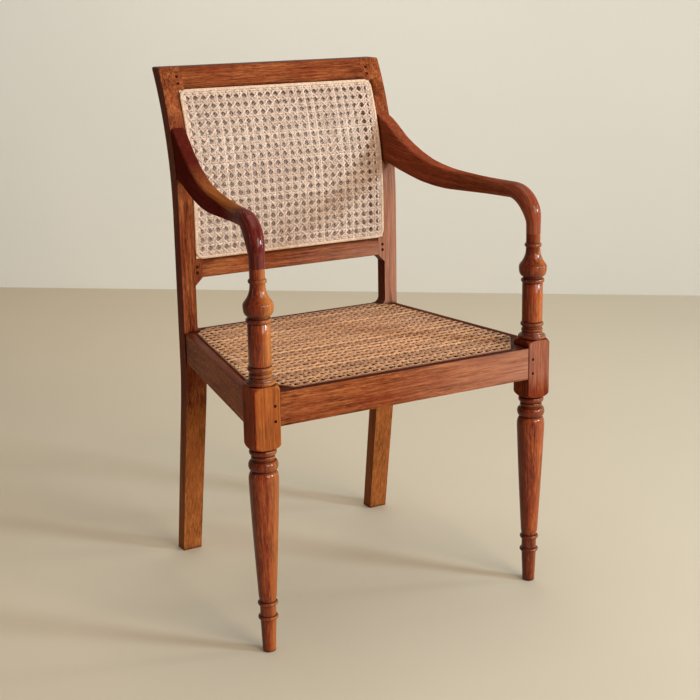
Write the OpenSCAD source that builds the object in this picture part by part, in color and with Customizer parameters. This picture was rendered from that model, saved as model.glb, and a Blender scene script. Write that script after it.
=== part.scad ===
// Dining armchair in turned and shaped hardwood, with a caned back and a caned seat.
// Z is up and the chair faces -Y. The origin is on the floor, under the middle of the chair.
// Left is the -X side, which is on the left for someone who looks at the chair's front.

/* [Overall] */
// Height of the top of the back above the floor
chair_h = 908; // [890:5:935]
// Height of the top of the seat rails
seat_h = 439; // [425:1:450]
// Distance between the axes of the two front legs
leg_gap = 518; // [500:1:540]
// Width across the two rear posts
back_w = 445; // [435:1:460]
// Distance from the axis of the front legs to the front face of the rear posts
seat_run = 394; // [370:1:415]

/* [Front legs] */
// Side of the square block that takes the seat rails
block_w = 45; // [43:1:48]
// Height of the block above the seat rails
block_rise = 12; // [8:1:16]
// Height of the block below the seat rails
block_drop = 36; // [30:1:42]
// Radius of the block's upright edges
block_edge = 2.5; // [1:0.5:4]
// Diameter of the turned leg where it is thickest
leg_d = 48.4; // [44:0.2:49]
// Diameter of the leg just above its ankle rings
ankle_d = 28.4; // [26:0.2:31]
// Diameter of the foot on the floor
foot_d = 21.6; // [20:0.2:24]
// Diameter of the two ankle rings
ankle_ring_d = 33; // [31:0.5:35]
// Diameter of the round bead at the head of the leg
head_ring_d = 48; // [45:0.5:50]
// Height of the turned arm support above the block
support_h = 183; // [170:1:195]
// Diameter of the support's straight column
column_d = 35.6; // [33:0.2:38]
// Diameter of the two rings that end the column
column_ring_d = 40.4; // [39:0.2:43]
// Diameter of the support's vase
vase_d = 48; // [45:0.5:51]
// Diameter of the support's neck, under the arm
neck_d = 24.4; // [23:0.2:26]
// Diameter of the dowel that enters the arm
dowel_d = 12; // [10:0.5:13]
// Length of that dowel
dowel_len = 24; // [18:1:28]

/* [Turned rings and beads] */
// Height of the lower ankle ring above the floor
ankle_low_z = 56.5; // [52:0.5:60]
// Height of the upper ankle ring above the floor
ankle_high_z = 81; // [76:0.5:86]
// Height of each ankle ring
ankle_ring_h = 7; // [6:0.5:8]
// Depth of the neck between the ankle rings, under the leg's surface
ankle_neck = 1.2; // [0.5:0.1:2]
// Height of the leg's round shoulder
calf_shoulder_h = 17; // [14:0.5:20]
// Depth that the shoulder rounds in
calf_shoulder_in = 4.2; // [3:0.2:5]
// Height of the grooves between the beads at the head of the leg
quirk = 1.5; // [1:0.1:2]
// Height of the round head bead
head_ring_h = 16.5; // [15:0.5:18]
// Height of the thin bead over it
thin_bead_h = 6.5; // [5.5:0.5:7.5]
// Diameter of the thin bead
thin_bead_d = 38.4; // [37:0.2:40]
// Height of the bead under the block
upper_bead_h = 9.5; // [8:0.5:11]
// Diameter of the bead under the block
upper_bead_d = 44.2; // [43:0.2:46]
// Height of the bead on the block
base_bead_h = 7; // [6:0.5:8]
// Diameter of the bead on the block
base_bead_d = 48; // [46:0.2:49]
// Height of the hollow over that bead
cove_h = 5; // [4:0.5:6]
// Height of the collar over the hollow
collar_h = 6.5; // [5.5:0.5:7.5]
// Diameter of the collar
collar_d = 37.2; // [36:0.2:38]
// Height of the groove between the collar and the column's ring
collar_gap = 3; // [2.5:0.5:4]
// Height of the two rings that end the column
column_ring_h = 8; // [7:0.5:9]
// Height of the vase
vase_h = 50.5; // [47:0.5:54]
// Height of the groove under the vase
vase_gap = 2.5; // [2:0.5:3]
// Height of the ring on the support's neck
neck_ring_h = 7; // [6:0.5:8]
// Diameter of the ring on the support's neck
neck_ring_d = 29.4; // [28:0.2:31]
// Height of the neck over its ring
neck_h = 16; // [13:0.5:19]

/* [Rear posts] */
// Width of the posts beside the cane and at the seat
post_w = 40; // [37:0.5:43]
// Width of the posts in the open window over the seat
waist_w = 26; // [24:0.5:29]
// Width of the posts on the floor
foot_w = 36; // [33:0.5:39]
// Thickness of the posts and the back's rails from front to back
post_t = 27; // [25:0.5:30]
// Height at which the back starts to lean away
back_bend_z = 650; // [630:5:665]
// Radius of the lean, on the front face
back_bend_r = 540; // [500:10:620]
// Angle of the rear legs to the upright
leg_rake = 9; // [7:0.5:10]
// Radius of the bend where the rear legs start to rake
leg_bend_r = 600; // [500:10:700]
// Radius of the hollow where a post meets the rear seat rail
foot_fillet = 12; // [8:1:13]
// Size of the slope where a post meets the lower back rail
spandrel = 14; // [10:1:14]
// Radius of the outer corners at the top of the back
top_round = 4; // [2:0.5:6]

/* [Back rails] */
// Height of the crest rail along the back's slope
crest_h = 50; // [48:1:54]
// Height of the bottom edge of the lower back rail
lower_rail_z = 538; // [532:1:550]
// Height of the lower back rail
lower_rail_h = 47; // [45:1:50]

/* [Seat rails] */
// Height of the seat rails
rail_h = 55; // [50:1:60]
// Thickness of the front and side rails
rail_t = 30; // [28:0.5:33]
// Thickness of the rear rail
rear_rail_t = 25; // [24:0.5:26]
// Depth of the front rail's face behind the front of the blocks
front_inset = 1; // [0.5:0.5:3]
// Depth of a side rail's face behind the side of the block
side_inset = 3; // [1:0.5:4]
// Depth of a side rail's face behind the side of the post
post_inset = 2; // [1:0.5:4]

/* [Arms] */
// Width of the arms
arm_w = 25; // [23:0.5:27]
// Diameter of an arm at the bend over the support
arm_bend_d = 28; // [26:0.2:29]
// Depth of the arms in the middle of the bend, in the bend's own plane
arm_elbow_d = 33; // [30:0.5:36]
// Height from the top of the support to the level line of the arm
arm_rise = 69; // [64:1:74]
// Radius of the bend, on the arm's middle line
arm_bend_r = 54; // [48:1:58]
// Depth of the arm's outer face behind the side of the post
arm_inset = 1; // [0.5:0.5:3]

/* [Cane and reed] */
// Thickness of the woven cane sheet
cane_t = 1.6; // [1.2:0.2:2.2]
// Width of the reed that locks the back's cane in its groove
back_reed_w = 6; // [5.5:0.5:7]
// Width of the reed that locks the seat's cane
seat_reed_w = 4; // [3.5:0.5:5.5]
// Depth of the grooves that hold the cane and the reed
groove_d = 6; // [4:0.5:8]
// Height of the reed over the wood
reed_proud = 2.4; // [2:0.2:3]
// Distance from the side of a post to the reed of the back
back_margin = 28; // [27:0.5:29]
// Distance from the lower back rail's bottom edge to the reed
lower_margin = 34; // [32:1:35]
// Distance from the top of the back to the reed
crest_margin = 38.5; // [37.5:0.5:40]
// Corner radius of the back's reed
back_reed_r = 15; // [10:1:20]
// Distance from the outer faces of the side rails to the seat's reed
seat_margin = 17.5; // [16:0.5:18.5]
// Distance from the front rail's face to the seat's reed
seat_front_margin = 12; // [11:0.5:13]
// Distance from the rear rail's back to the seat's reed
seat_rear_margin = 16; // [15:0.5:17]
// Corner radius of the seat's reed
seat_reed_r = 8; // [7:0.5:12]
// Width of the cane's cut corner beside each front block
front_cut_w = 27.5; // [26:0.5:32]
// Depth of that cut corner behind the block
front_cut_d = 36; // [34:0.5:38]
// Width of the cane's cut corner beside each rear post
rear_cut_w = 4.5; // [3:0.5:7]
// Depth of that cut corner before the post
rear_cut_d = 15; // [12:0.5:18]
// Rows of openings across the back's cane
back_cells_x = 19; // [14:1:19]
// Rows of openings up the back's cane
back_cells_z = 15; // [11:1:15]
// Distance between the openings of the seat's cane
seat_pitch = 23.5; // [23:0.5:30]

/* [Joinery] */
// Thickness of the tenons
tenon_t = 9; // [7:0.5:10]
// Length of the tenons of the crest and lower back rails
back_tenon = 24; // [20:1:27]
// Length of the front rail's tenons
front_tenon = 18; // [15:1:20]
// Length of the side rails' tenons
side_tenon = 17; // [14:1:19]
// Length of the rear rail's tenons
rear_tenon = 13; // [10:1:14]
// Shoulder left above and below each tenon
shoulder = 6; // [5:0.5:8]
// Length of the arm's tenon in the post
arm_tenon = 15; // [12:1:17]
// Height of the arm's tenon
arm_tenon_h = 50; // [42:1:54]
// Diameter of the wooden pegs
peg_d = 5.5; // [4.5:0.5:6]
// Length of the wooden pegs
peg_len = 19; // [17:0.5:20]
// Distance of the pegs from the joint's shoulder line
peg_edge = 9.5; // [8:0.5:10.5]
// Distance between the two pegs of a crest rail joint
crest_peg_gap = 13; // [11:0.5:15]
// Distance between the two pegs of a lower back rail joint
lower_peg_gap = 10.5; // [9:0.5:16]
// Distance between the two pegs of a front rail joint
front_peg_gap = 25; // [23:0.5:27]
// Distance of the middle of those two pegs below the middle of the rail
front_peg_drop = 5.5; // [4:0.5:6.5]
// Shoulder left above and below the tenons of the crest rail
crest_shoulder = 10; // [8:0.5:12]
// Length of a corner block along the side rail
brace_leg = 58; // [50:1:64]
// Length of a corner block along the front or rear rail
brace_run = 50; // [46:1:56]
// Height of a corner block
brace_h = 30; // [26:1:36]
// Shank diameter of the corner screws
screw_d = 4; // [3.5:0.5:5]
// Length of the corner screws
screw_len = 34; // [30:1:36]
// Wood of the corner block under a screw's head
screw_grip = 18; // [16:0.5:20]
// Distance of a screw from the corner block's tip
screw_step = 17; // [15:0.5:20]
// Depth of the screws under the top of the seat rails
screw_drop = 18; // [14:0.5:20]

/* [Hidden] */

// Clearance between a tenon and its mortise, and between flat sheets and the wood
fit = 0.1;
// Overlap that joins two shapes of one piece
weld = 1;
// Angle between two points of the large bends
bend_step = 1.5;
// Steps of a small rounded corner
corner_n = 5;
// Size of the cane's openings, as a share of the distance between them
hole_share = 0.62;
// Diameter of a screw's core, and of its pilot hole in a rail
screw_core = screw_d - 1;
wood = [0.56, 0.27, 0.13];
wood_dark = [0.45, 0.2, 0.11];
cane_color = [0.87, 0.76, 0.56];

leg_x = leg_gap / 2;
half_block = block_w / 2;
post_x = back_w / 2;
rail_x = post_x - post_w;
rail_z = seat_h - rail_h;
block_z0 = rail_z - block_drop;
block_z1 = seat_h + block_rise;
neck_z = block_z1 + support_h;
front_face_y = -half_block + front_inset;
rear_face_y = seat_run + rear_rail_t;
bend_y = seat_run + back_bend_r;
rear_top_y = bend_y - sqrt(pow(back_bend_r - post_t, 2) - pow(chair_h - back_bend_z, 2));
front_reach = max(half_block, leg_d / 2, head_ring_d / 2, vase_d / 2);
centre_y = (rear_top_y - front_reach) / 2;
top_a = asin((chair_h - back_bend_z) / back_bend_r);
crest_a = top_a - crest_h / back_bend_r * 180 / PI;
top_steps = ceil(asin((chair_h - back_bend_z) / (back_bend_r - post_t)) / bend_step) + 1;

// Front face of the posts at height z, above the seat
function face_y(z) = z < back_bend_z ? seat_run
    : bend_y - sqrt(pow(back_bend_r, 2) - pow(z - back_bend_z, 2));

// Points of a curve that lies off behind the front face, from z0 up past the top
function back_curve(z0, off, a0 = 0) = concat(
    z0 < back_bend_z ? [[seat_run + off, z0]] : [],
    [for (i = [0:top_steps]) let (a = a0 + i * bend_step)
        [bend_y - (back_bend_r - off) * cos(a), back_bend_z + (back_bend_r - off) * sin(a)]]);

// Points of the raked rear leg, from the seat rail's bottom edge down through the floor
function leg_curve(off) = let (r = leg_bend_r - off, n = ceil(leg_rake / bend_step),
        end = [seat_run + leg_bend_r - r * cos(leg_rake), rail_z - r * sin(leg_rake)])
    concat(
        [for (i = [0:n]) let (a = leg_rake * i / n)
            [seat_run + leg_bend_r - r * cos(a), rail_z - r * sin(a)]],
        [end + rail_z * [sin(leg_rake), -cos(leg_rake)]]);

function reversed(p) = [for (i = [len(p) - 1:-1:0]) p[i]];
function unit(v) = v / norm(v);
function left_of(v) = [-v.y, v.x];

// Polygon p, which turns left, drawn in by d
function inset(p, d) = let (n = len(p)) [for (i = [0:n - 1])
    let (a = left_of(unit(p[i] - p[(i + n - 1) % n])), b = left_of(unit(p[(i + 1) % n] - p[i])))
    p[i] + (a + b) * d / (1 + a * b)];

// Polygon p, which turns left, with each corner rounded to radius r
function rounded(p, r) = let (n = len(p), c = inset(p, r)) [for (i = [0:n - 1])
    let (a = -left_of(unit(p[i] - p[(i + n - 1) % n])), b = -left_of(unit(p[(i + 1) % n] - p[i])),
        start = atan2(a.y, a.x), turn = acos(a * b))
    for (k = [0:corner_n]) c[i] + r * [cos(start + turn * k / corner_n), sin(start + turn * k / corner_n)]];

// Arc of radius r about c, from angle a0 to a1
function arc(c, r, a0, a1, n) = [for (i = [0:n]) let (a = a0 + (a1 - a0) * i / n) c + r * [cos(a), sin(a)]];

// Cubic curve through p[0] and p[3], drawn towards p[1] and p[2]
function bezier(p, n) = [for (i = [0:n]) let (t = i / n, s = 1 - t)
    s * s * s * p[0] + 3 * s * s * t * p[1] + 3 * s * t * t * p[2] + t * t * t * p[3]];

// Half-round bead of a turning, from z0 to z1, which swells from radius r0 to r1
function bead(z0, z1, r0, r1) = [for (i = [0:6]) let (a = 30 * i)
    [r0 + (r1 - r0) * sin(a), (z0 + z1) / 2 - (z1 - z0) / 2 * cos(a)]];

// Value at t, from 0 to 1, of a smooth curve through evenly spaced values
function along(v, t) = let (n = len(v) - 1, i = min(floor(t * n), n - 1), f = t * n - i,
        a = v[max(i - 1, 0)], b = v[i], c = v[i + 1], d = v[min(i + 2, n)])
    (2 * b + (c - a) * f + (2 * a - 5 * b + 4 * c - d) * f * f + (3 * b - a - 3 * c + d) * f * f * f) / 2;

// Draws the children for the right side, or mirrored for the left
module side(s) {
    mirror([s < 0 ? 1 : 0, 0, 0]) children();
}

// Extrudes an outline in Y and Z along X, from x0 to x1
module along_x(x0, x1) {
    translate([x0, 0, 0]) rotate([90, 0, 90]) linear_extrude(x1 - x0) children();
}

// Extrudes an outline in X and Z along Y, from y0 to y1
module along_y(y0, y1) {
    translate([0, y1, 0]) rotate([90, 0, 0]) linear_extrude(y1 - y0) children();
}

// Places the children on the front face of the back, where it leans by angle a
module on_face(a) {
    translate([0, bend_y, back_bend_z]) rotate([-a, 0, 0]) translate([0, -back_bend_r, 0]) children();
}

// Box with given sizes, centred in x and z, that starts at y = 0
module slab(x, y, z) {
    translate([-x / 2, 0, -z / 2]) cube([x, y, z]);
}

/* Front legs */

foot_r = foot_d / 2;
ankle_r = ankle_d / 2;
calf_r = leg_d / 2;
head_r = head_ring_d / 2;
calf_z = ankle_high_z + ankle_ring_h;
head_z = block_z0 - head_ring_h - thin_bead_h - upper_bead_h - 4 * quirk;
thin_z = head_z + head_ring_h + 2 * quirk;
upper_z = thin_z + thin_bead_h + quirk;
calf_top = head_z - calf_shoulder_h;
foot_edge = 1.5;
calf_steps = 12;

// Radius at height t, from 0 to 1, between the ankle rings and the shoulder of the leg
function calf_at(t) = ankle_r + (calf_r - ankle_r) * (0.75 * t + 0.25 * sin(90 * t));

function leg_profile() = concat(
    [[0, 0], [foot_r - foot_edge, 0], [foot_r, foot_edge]],
    bead(ankle_low_z, ankle_low_z + ankle_ring_h, ankle_r - ankle_neck, ankle_ring_d / 2),
    bead(ankle_high_z, calf_z, ankle_r - ankle_neck, ankle_ring_d / 2),
    [for (i = [1:calf_steps]) let (t = i / calf_steps) [calf_at(t), calf_z + (calf_top - calf_z) * t]],
    bezier([[calf_r, calf_top + weld], [calf_r, head_z - calf_shoulder_h / 2],
        [calf_r - calf_shoulder_in / 4, head_z - 2 * quirk], [calf_r - calf_shoulder_in, head_z]], 5),
    bead(head_z + quirk, thin_z - quirk, calf_r - calf_shoulder_in - weld, head_r),
    bead(thin_z, upper_z - quirk, thin_bead_d / 2 - quirk, thin_bead_d / 2),
    bead(upper_z, block_z0 - quirk, thin_bead_d / 2, upper_bead_d / 2),
    [[thin_bead_d / 2 + weld, block_z0 - quirk / 2], [thin_bead_d / 2 + weld, block_z0 + weld],
        [0, block_z0 + weld]]);

column_r = column_d / 2;
ring_r = column_ring_d / 2;
vase_r = vase_d / 2;
neck_r = neck_d / 2;
collar_z = block_z1 + base_bead_h + cove_h;
foot_ring_z = collar_z + collar_h + collar_gap;
column_z = foot_ring_z + column_ring_h;
neck_ring_z = neck_z - neck_h - neck_ring_h;
vase_z = neck_ring_z - vase_h - quirk / 2;
cap_z = vase_z - vase_gap - column_ring_h;
groove_r = column_r - 1.2;

function support_profile() = concat(
    [[0, block_z1 - weld], [base_bead_d / 2 - quirk, block_z1 - weld]],
    bead(block_z1, block_z1 + base_bead_h, base_bead_d / 2 - 2 * quirk, base_bead_d / 2),
    arc([groove_r + cove_h, collar_z], cove_h - weld, 255, 180, 5),
    bead(collar_z, collar_z + collar_h, groove_r, collar_d / 2),
    bead(foot_ring_z, column_z, groove_r, ring_r),
    [[column_r, column_z + quirk], [column_r, cap_z - quirk]],
    bead(cap_z, cap_z + column_ring_h, groove_r, ring_r),
    bezier([[groove_r, vase_z], [vase_r - quirk, vase_z + 0.02 * vase_h],
        [vase_r, vase_z + 0.16 * vase_h], [vase_r, vase_z + 0.33 * vase_h]], 7),
    bezier([[vase_r, vase_z + 0.35 * vase_h], [vase_r, vase_z + 0.47 * vase_h],
        [neck_r, vase_z + 0.56 * vase_h], [neck_r, vase_z + vase_h]], 9),
    bead(neck_ring_z, neck_ring_z + neck_ring_h, neck_r, neck_ring_d / 2),
    [[neck_r, neck_z], [0, neck_z]]);

// Block with eased edges, whose corners the lathe has rounded at both ends
module leg_block() {
    square_p = [[-1, -1], [1, -1], [1, 1], [-1, 1]] * half_block;
    corner_r = half_block * sqrt(2);
    shoulder_r = corner_r - half_block + quirk;
    intersection() {
        translate([0, 0, block_z0]) linear_extrude(block_z1 - block_z0)
            polygon(rounded(square_p, block_edge));
        rotate_extrude($fn = 96) polygon(concat(
            [[0, block_z0]],
            arc([corner_r - shoulder_r, block_z0 + shoulder_r], shoulder_r, -90, 0, 6),
            arc([corner_r - shoulder_r, block_z1 - shoulder_r], shoulder_r, 0, 90, 6),
            [[0, block_z1]]));
    }
}

module front_leg() {
    difference() {
        translate([leg_x, 0, 0]) {
            rotate_extrude($fn = 96) polygon(leg_profile());
            rotate_extrude($fn = 96) polygon(support_profile());
            leg_block();
            translate([0, 0, neck_z - weld]) cylinder(d = dowel_d, h = dowel_len + weld, $fn = 48);
        }
        front_rail_tenon(fit);
        side_rail_tenon_front(fit);
        front_peg_bores();
    }
}

module front_leg_left() {
    color(wood) side(-1) front_leg();
}

module front_leg_right() {
    color(wood) side(1) front_leg();
}

/* Rear posts */

module post_side() {
    intersection() {
        polygon(concat(
            reversed(leg_curve(0)), back_curve(seat_h, 0),
            reversed(back_curve(seat_h, post_t)), leg_curve(post_t)));
        square([2 * bend_y, chair_h]);
    }
}

module post_front() {
    waist_x = post_x - waist_w;
    polygon(concat(
        [[post_x - foot_w, 0], [post_x, 0]],
        arc([post_x - top_round, chair_h - top_round], top_round, 0, 90, corner_n),
        [[rail_x, chair_h], [rail_x, lower_rail_z], [waist_x, lower_rail_z - spandrel]],
        arc([waist_x - foot_fillet, seat_h + foot_fillet], foot_fillet, 0, -90, 6),
        [[rail_x, seat_h], [rail_x, rail_z]]));
}

module rear_post() {
    difference() {
        intersection() {
            along_x(rail_x - weld, post_x + weld) post_side();
            along_y(0, 2 * bend_y) post_front();
        }
        post_tenon(fit);
        lower_rail_tenon(fit);
        rear_rail_tenon(fit);
        side_rail_tenon_rear(fit);
        arm_tenon_slab(fit);
        crest_peg_bores();
        lower_peg_bores();
        back_groove();
        seat_groove();
    }
}

module rear_post_left() {
    color(wood) side(-1) rear_post();
}

module rear_post_right() {
    color(wood) side(1) rear_post();
}

/* Back rails */

post_tenon_h = crest_h - 2 * crest_shoulder;
crest_mid_a = (crest_a + top_a) / 2;

module post_tenon(g = 0) {
    on_face(crest_mid_a) translate([rail_x - weld, (post_t - tenon_t) / 2 - g, -post_tenon_h / 2 - g])
        cube([back_tenon + weld + g, tenon_t + 2 * g, post_tenon_h + 2 * g]);
}

module crest_rail() {
    curve_f = back_curve(back_bend_z, 0, crest_a);
    curve_r = back_curve(back_bend_z, post_t, crest_a);
    color(wood) difference() {
        union() {
            along_x(-rail_x, rail_x) intersection() {
                polygon(concat(curve_f, reversed(curve_r)));
                square([2 * bend_y, chair_h]);
            }
            for (s = [-1, 1]) side(s) post_tenon();
        }
        for (s = [-1, 1]) side(s) crest_peg_bores();
        back_groove();
    }
}

module lower_rail_tenon(g = 0) {
    translate([rail_x - weld, seat_run + (post_t - tenon_t) / 2 - g, lower_rail_z + shoulder - g])
        cube([back_tenon + weld + g, tenon_t + 2 * g, lower_rail_h - 2 * shoulder + 2 * g]);
}

module lower_back_rail() {
    color(wood) difference() {
        union() {
            translate([-rail_x, seat_run, lower_rail_z]) cube([2 * rail_x, post_t, lower_rail_h]);
            for (s = [-1, 1]) side(s) lower_rail_tenon();
        }
        for (s = [-1, 1]) side(s) lower_peg_bores();
        back_groove();
    }
}

/* Seat rails */

tenon_h = rail_h - 2 * shoulder;
front_tenon_y = front_face_y + (rail_t - tenon_t) / 2;
side_front_x = leg_x + half_block - side_inset;
side_rear_x = post_x - post_inset;

// Outer face of a side rail at depth y
function side_x(y) = side_front_x + (side_rear_x - side_front_x) * (y - half_block) / (seat_run - half_block);

module front_rail_tenon(g = 0) {
    translate([leg_x - half_block - weld, front_tenon_y - g, rail_z + shoulder - g])
        cube([front_tenon + weld + g, tenon_t + 2 * g, tenon_h + 2 * g]);
}

module side_rail_tenon_front(g = 0) {
    translate([side_front_x - (rail_t + tenon_t) / 2 - g, half_block - side_tenon - g, rail_z + shoulder - g])
        cube([tenon_t + 2 * g, side_tenon + weld + g, tenon_h + 2 * g]);
}

module side_rail_tenon_rear(g = 0) {
    translate([side_rear_x - rail_t / 2 - g, seat_run - weld, rail_z + shoulder - g])
        cube([tenon_t + 2 * g, side_tenon + weld + g, tenon_h + 2 * g]);
}

module rear_rail_tenon(g = 0) {
    translate([rail_x - weld, seat_run + (rear_rail_t - tenon_t) / 2 - g, rail_z + shoulder - g])
        cube([rear_tenon + weld + g, tenon_t + 2 * g, tenon_h + 2 * g]);
}

module seat_rail_front() {
    w = leg_gap - block_w;
    color(wood) difference() {
        union() {
            translate([-w / 2, front_face_y, rail_z]) cube([w, rail_t, rail_h]);
            for (s = [-1, 1]) side(s) front_rail_tenon();
        }
        for (s = [-1, 1]) side(s) {
            front_peg_bores();
            pilot_holes();
        }
        seat_groove();
    }
}

module seat_rail_rear() {
    color(wood) difference() {
        union() {
            translate([-rail_x, seat_run, rail_z]) cube([2 * rail_x, rear_rail_t, rail_h]);
            for (s = [-1, 1]) side(s) rear_rail_tenon();
        }
        for (s = [-1, 1]) side(s) pilot_holes();
        seat_groove();
    }
}

module seat_rail_side() {
    difference() {
        union() {
            translate([0, 0, rail_z]) linear_extrude(rail_h) polygon([
                [side_front_x - rail_t, half_block], [side_front_x, half_block],
                [side_rear_x, seat_run], [side_rear_x - rail_t, seat_run]]);
            side_rail_tenon_front();
            side_rail_tenon_rear();
        }
        pilot_holes();
        seat_groove();
    }
}

module seat_rail_left() {
    color(wood) side(-1) seat_rail_side();
}

module seat_rail_right() {
    color(wood) side(1) seat_rail_side();
}

/* Corner blocks, glued and screwed into the corners of the seat frame */

front_in_y = front_face_y + rail_t;
front_tip_x = leg_x - half_block - brace_run;
front_tip_y = half_block + brace_leg;
rear_tip_x = rail_x - brace_run;
rear_tip_y = seat_run - brace_leg;

function side_in_x(y) = side_x(y) - rail_t;

module front_brace_outline() {
    polygon([[front_tip_x, front_in_y], [leg_x - half_block, front_in_y], [leg_x - half_block, half_block],
        [side_in_x(half_block), half_block], [side_in_x(front_tip_y), front_tip_y]]);
}

module rear_brace_outline() {
    polygon([[rear_tip_x, seat_run], [side_in_x(rear_tip_y), rear_tip_y], [side_in_x(seat_run), seat_run]]);
}

// Places the children at the heads of a right block's two screws, turned to point along +Z
module at_screws(front) {
    x = front ? front_tip_x + screw_step : rear_tip_x + screw_step;
    y = front ? front_in_y + screw_grip : seat_run - screw_grip;
    side_y = front ? front_tip_y - screw_step : rear_tip_y + screw_step;
    translate([x, y, seat_h - screw_drop]) rotate([front ? 90 : -90, 0, 0]) children();
    translate([side_in_x(side_y) - screw_grip, side_y, seat_h - screw_drop]) rotate([0, 90, 0]) children();
}

// Pilot holes of the corner screws in the rails
module pilot_holes() {
    for (front = [true, false]) at_screws(front) cylinder(d = screw_core, h = screw_len + weld, $fn = 24);
}

// Clearance holes and head pockets of one block
module brace_holes(front) {
    at_screws(front) {
        cylinder(d = screw_d + 2 * fit, h = screw_len, $fn = 24);
        cylinder(d1 = 2 * (screw_d + fit), d2 = screw_d, h = screw_d / 2 + fit, $fn = 24);
        translate([0, 0, -brace_leg]) cylinder(d = 2 * (screw_d + fit), h = brace_leg, $fn = 24);
    }
}

module corner_block(front) {
    difference() {
        translate([0, 0, seat_h - brace_h]) linear_extrude(brace_h) {
            if (front) front_brace_outline();
            else rear_brace_outline();
        }
        brace_holes(front);
        seat_groove();
    }
}

module corner_block_front_left() {
    color(wood_dark) side(-1) corner_block(true);
}

module corner_block_front_right() {
    color(wood_dark) side(1) corner_block(true);
}

module corner_block_rear_left() {
    color(wood_dark) side(-1) corner_block(false);
}

module corner_block_rear_right() {
    color(wood_dark) side(1) corner_block(false);
}

// Countersunk screw that points along +Z, with its head's top at z = 0
module screw() {
    head_r = screw_d;
    shank_r = screw_d / 2;
    core_r = screw_core / 2;
    rotate_extrude($fn = 32) polygon([[0, 0], [head_r, 0], [shank_r, head_r - shank_r],
        [shank_r, screw_grip], [core_r, screw_grip], [core_r, screw_len - screw_d], [0, screw_len]]);
}

module corner_screws() {
    color("silver") for (s = [-1, 1], front = [true, false]) side(s) at_screws(front) screw();
}

/* Pegs */

crest_peg_turn = crest_peg_gap / 2 / back_bend_r * 180 / PI;
back_peg_x = rail_x + peg_edge;
lower_peg_z = lower_rail_z + shoulder + peg_d / 2 + weld;
front_peg_x = leg_x - half_block + peg_edge;
front_peg_z = rail_z + rail_h / 2 - front_peg_drop;

module peg(d, len) {
    rotate([-90, 0, 0]) cylinder(d = d, h = len, $fn = 24);
}

module at_crest_pegs() {
    for (s = [-1, 1]) on_face(crest_mid_a + s * crest_peg_turn) translate([back_peg_x, 0, 0]) children();
}

module at_lower_pegs() {
    for (i = [0, 1]) translate([back_peg_x, seat_run, lower_peg_z + i * lower_peg_gap]) children();
}

module at_front_pegs() {
    for (s = [-1, 1]) translate([front_peg_x, -half_block, front_peg_z + s * front_peg_gap / 2]) children();
}

module crest_peg_bores() {
    at_crest_pegs() translate([0, -weld, 0]) peg(peg_d, peg_len + weld + fit);
}

module lower_peg_bores() {
    at_lower_pegs() translate([0, -weld, 0]) peg(peg_d, peg_len + weld + fit);
}

module front_peg_bores() {
    at_front_pegs() translate([0, -weld, 0]) peg(peg_d, peg_len + weld + fit);
}

module crest_pegs() {
    color(wood_dark) for (s = [-1, 1]) side(s) at_crest_pegs() peg(peg_d - fit, peg_len);
}

module lower_rail_pegs() {
    color(wood_dark) for (s = [-1, 1]) side(s) at_lower_pegs() peg(peg_d - fit, peg_len);
}

module front_rail_pegs() {
    color(wood_dark) for (s = [-1, 1]) side(s) at_front_pegs() peg(peg_d - fit, peg_len);
}

/* Arms, swept from a round end on the support to a deep rectangular end on the post */

arm_level = neck_z + arm_rise;
arm_rear_x = post_x - arm_inset - arm_w / 2;
bend_rings = 9;
run_rings = 22;
// Least flat width left between two rounded corners of a section
flat_min = 0.4;
// Points between the corners on each side of a section
side_n = 4;
// Top and bottom edges over the level line, and corner radius, at even steps from the bend to the post
arm_top = [14, 14, 15.5, 19.5, 32, 59, 102];
arm_bottom = [-14, -14.5, -16, -17, -12, 0, 14.5];
arm_edge = [13.6, 11, 7.5, 5, 4.5, 4, 4];

// Middle line of an arm at depth y
function arm_x(y) = leg_x + (arm_rear_x - leg_x) * y / seat_run;

// Points up the right side of a section: a is its half width, b its half depth, r its corner radius
function section_side(a, b, r) = concat(
    arc([a - r, r - b], r, -90, 0, corner_n),
    [for (k = [1:side_n]) [a, (b - r) * (2 * k / (side_n + 1) - 1)]],
    arc([a - r, b - r], r, 0, 90, corner_n));

// Points round a section: up its right side and down its left side
function section(a, b, r) = let (p = section_side(a, b, r)) concat(p, [for (q = reversed(p)) [-q.x, q.y]]);

// Sections round the bend, from the end on the support to the start of the level run
function bend_part() = let (z0 = arm_level - arm_bend_r, r0 = neck_r, r1 = arm_bend_d / 2,
        d1 = arm_elbow_d / 2, r2 = arm_top[0])
    [for (k = [-1:bend_rings]) let (t = max(k, 0) / bend_rings, a = 90 * t,
            c = k < 0 ? [0, neck_z] : [arm_bend_r * (1 - cos(a)), z0 + arm_bend_r * sin(a)],
            w = k < 0 ? r0 : along([r0, r1, r1, r2], t), d = k < 0 ? r0 : along([r0, d1, d1, r2], t))
        [for (p = section(w, d, w - flat_min)) [arm_x(c.x) + p.x, c.x - p.y * cos(a), c.y + p.y * sin(a)]]];

// Sections from the bend to the post, whose last one lies on the post's curved face
function run_part() = [for (k = [1:run_rings]) let (t = k / run_rings,
        top = arm_level + along(arm_top, t), bottom = arm_level + along(arm_bottom, t),
        x = arm_x(arm_bend_r + (seat_run - arm_bend_r) * t),
        a = arm_top[0] + (arm_w / 2 - arm_top[0]) * min(4 * t, 1),
        b = (top - bottom) / 2, r = min(along(arm_edge, t), a - flat_min, b - flat_min))
    [for (p = section(a, b, r)) let (z = (top + bottom) / 2 + p.y)
        [x + p.x, arm_bend_r + t * (face_y(z) - fit - arm_bend_r), z]]];

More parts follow.
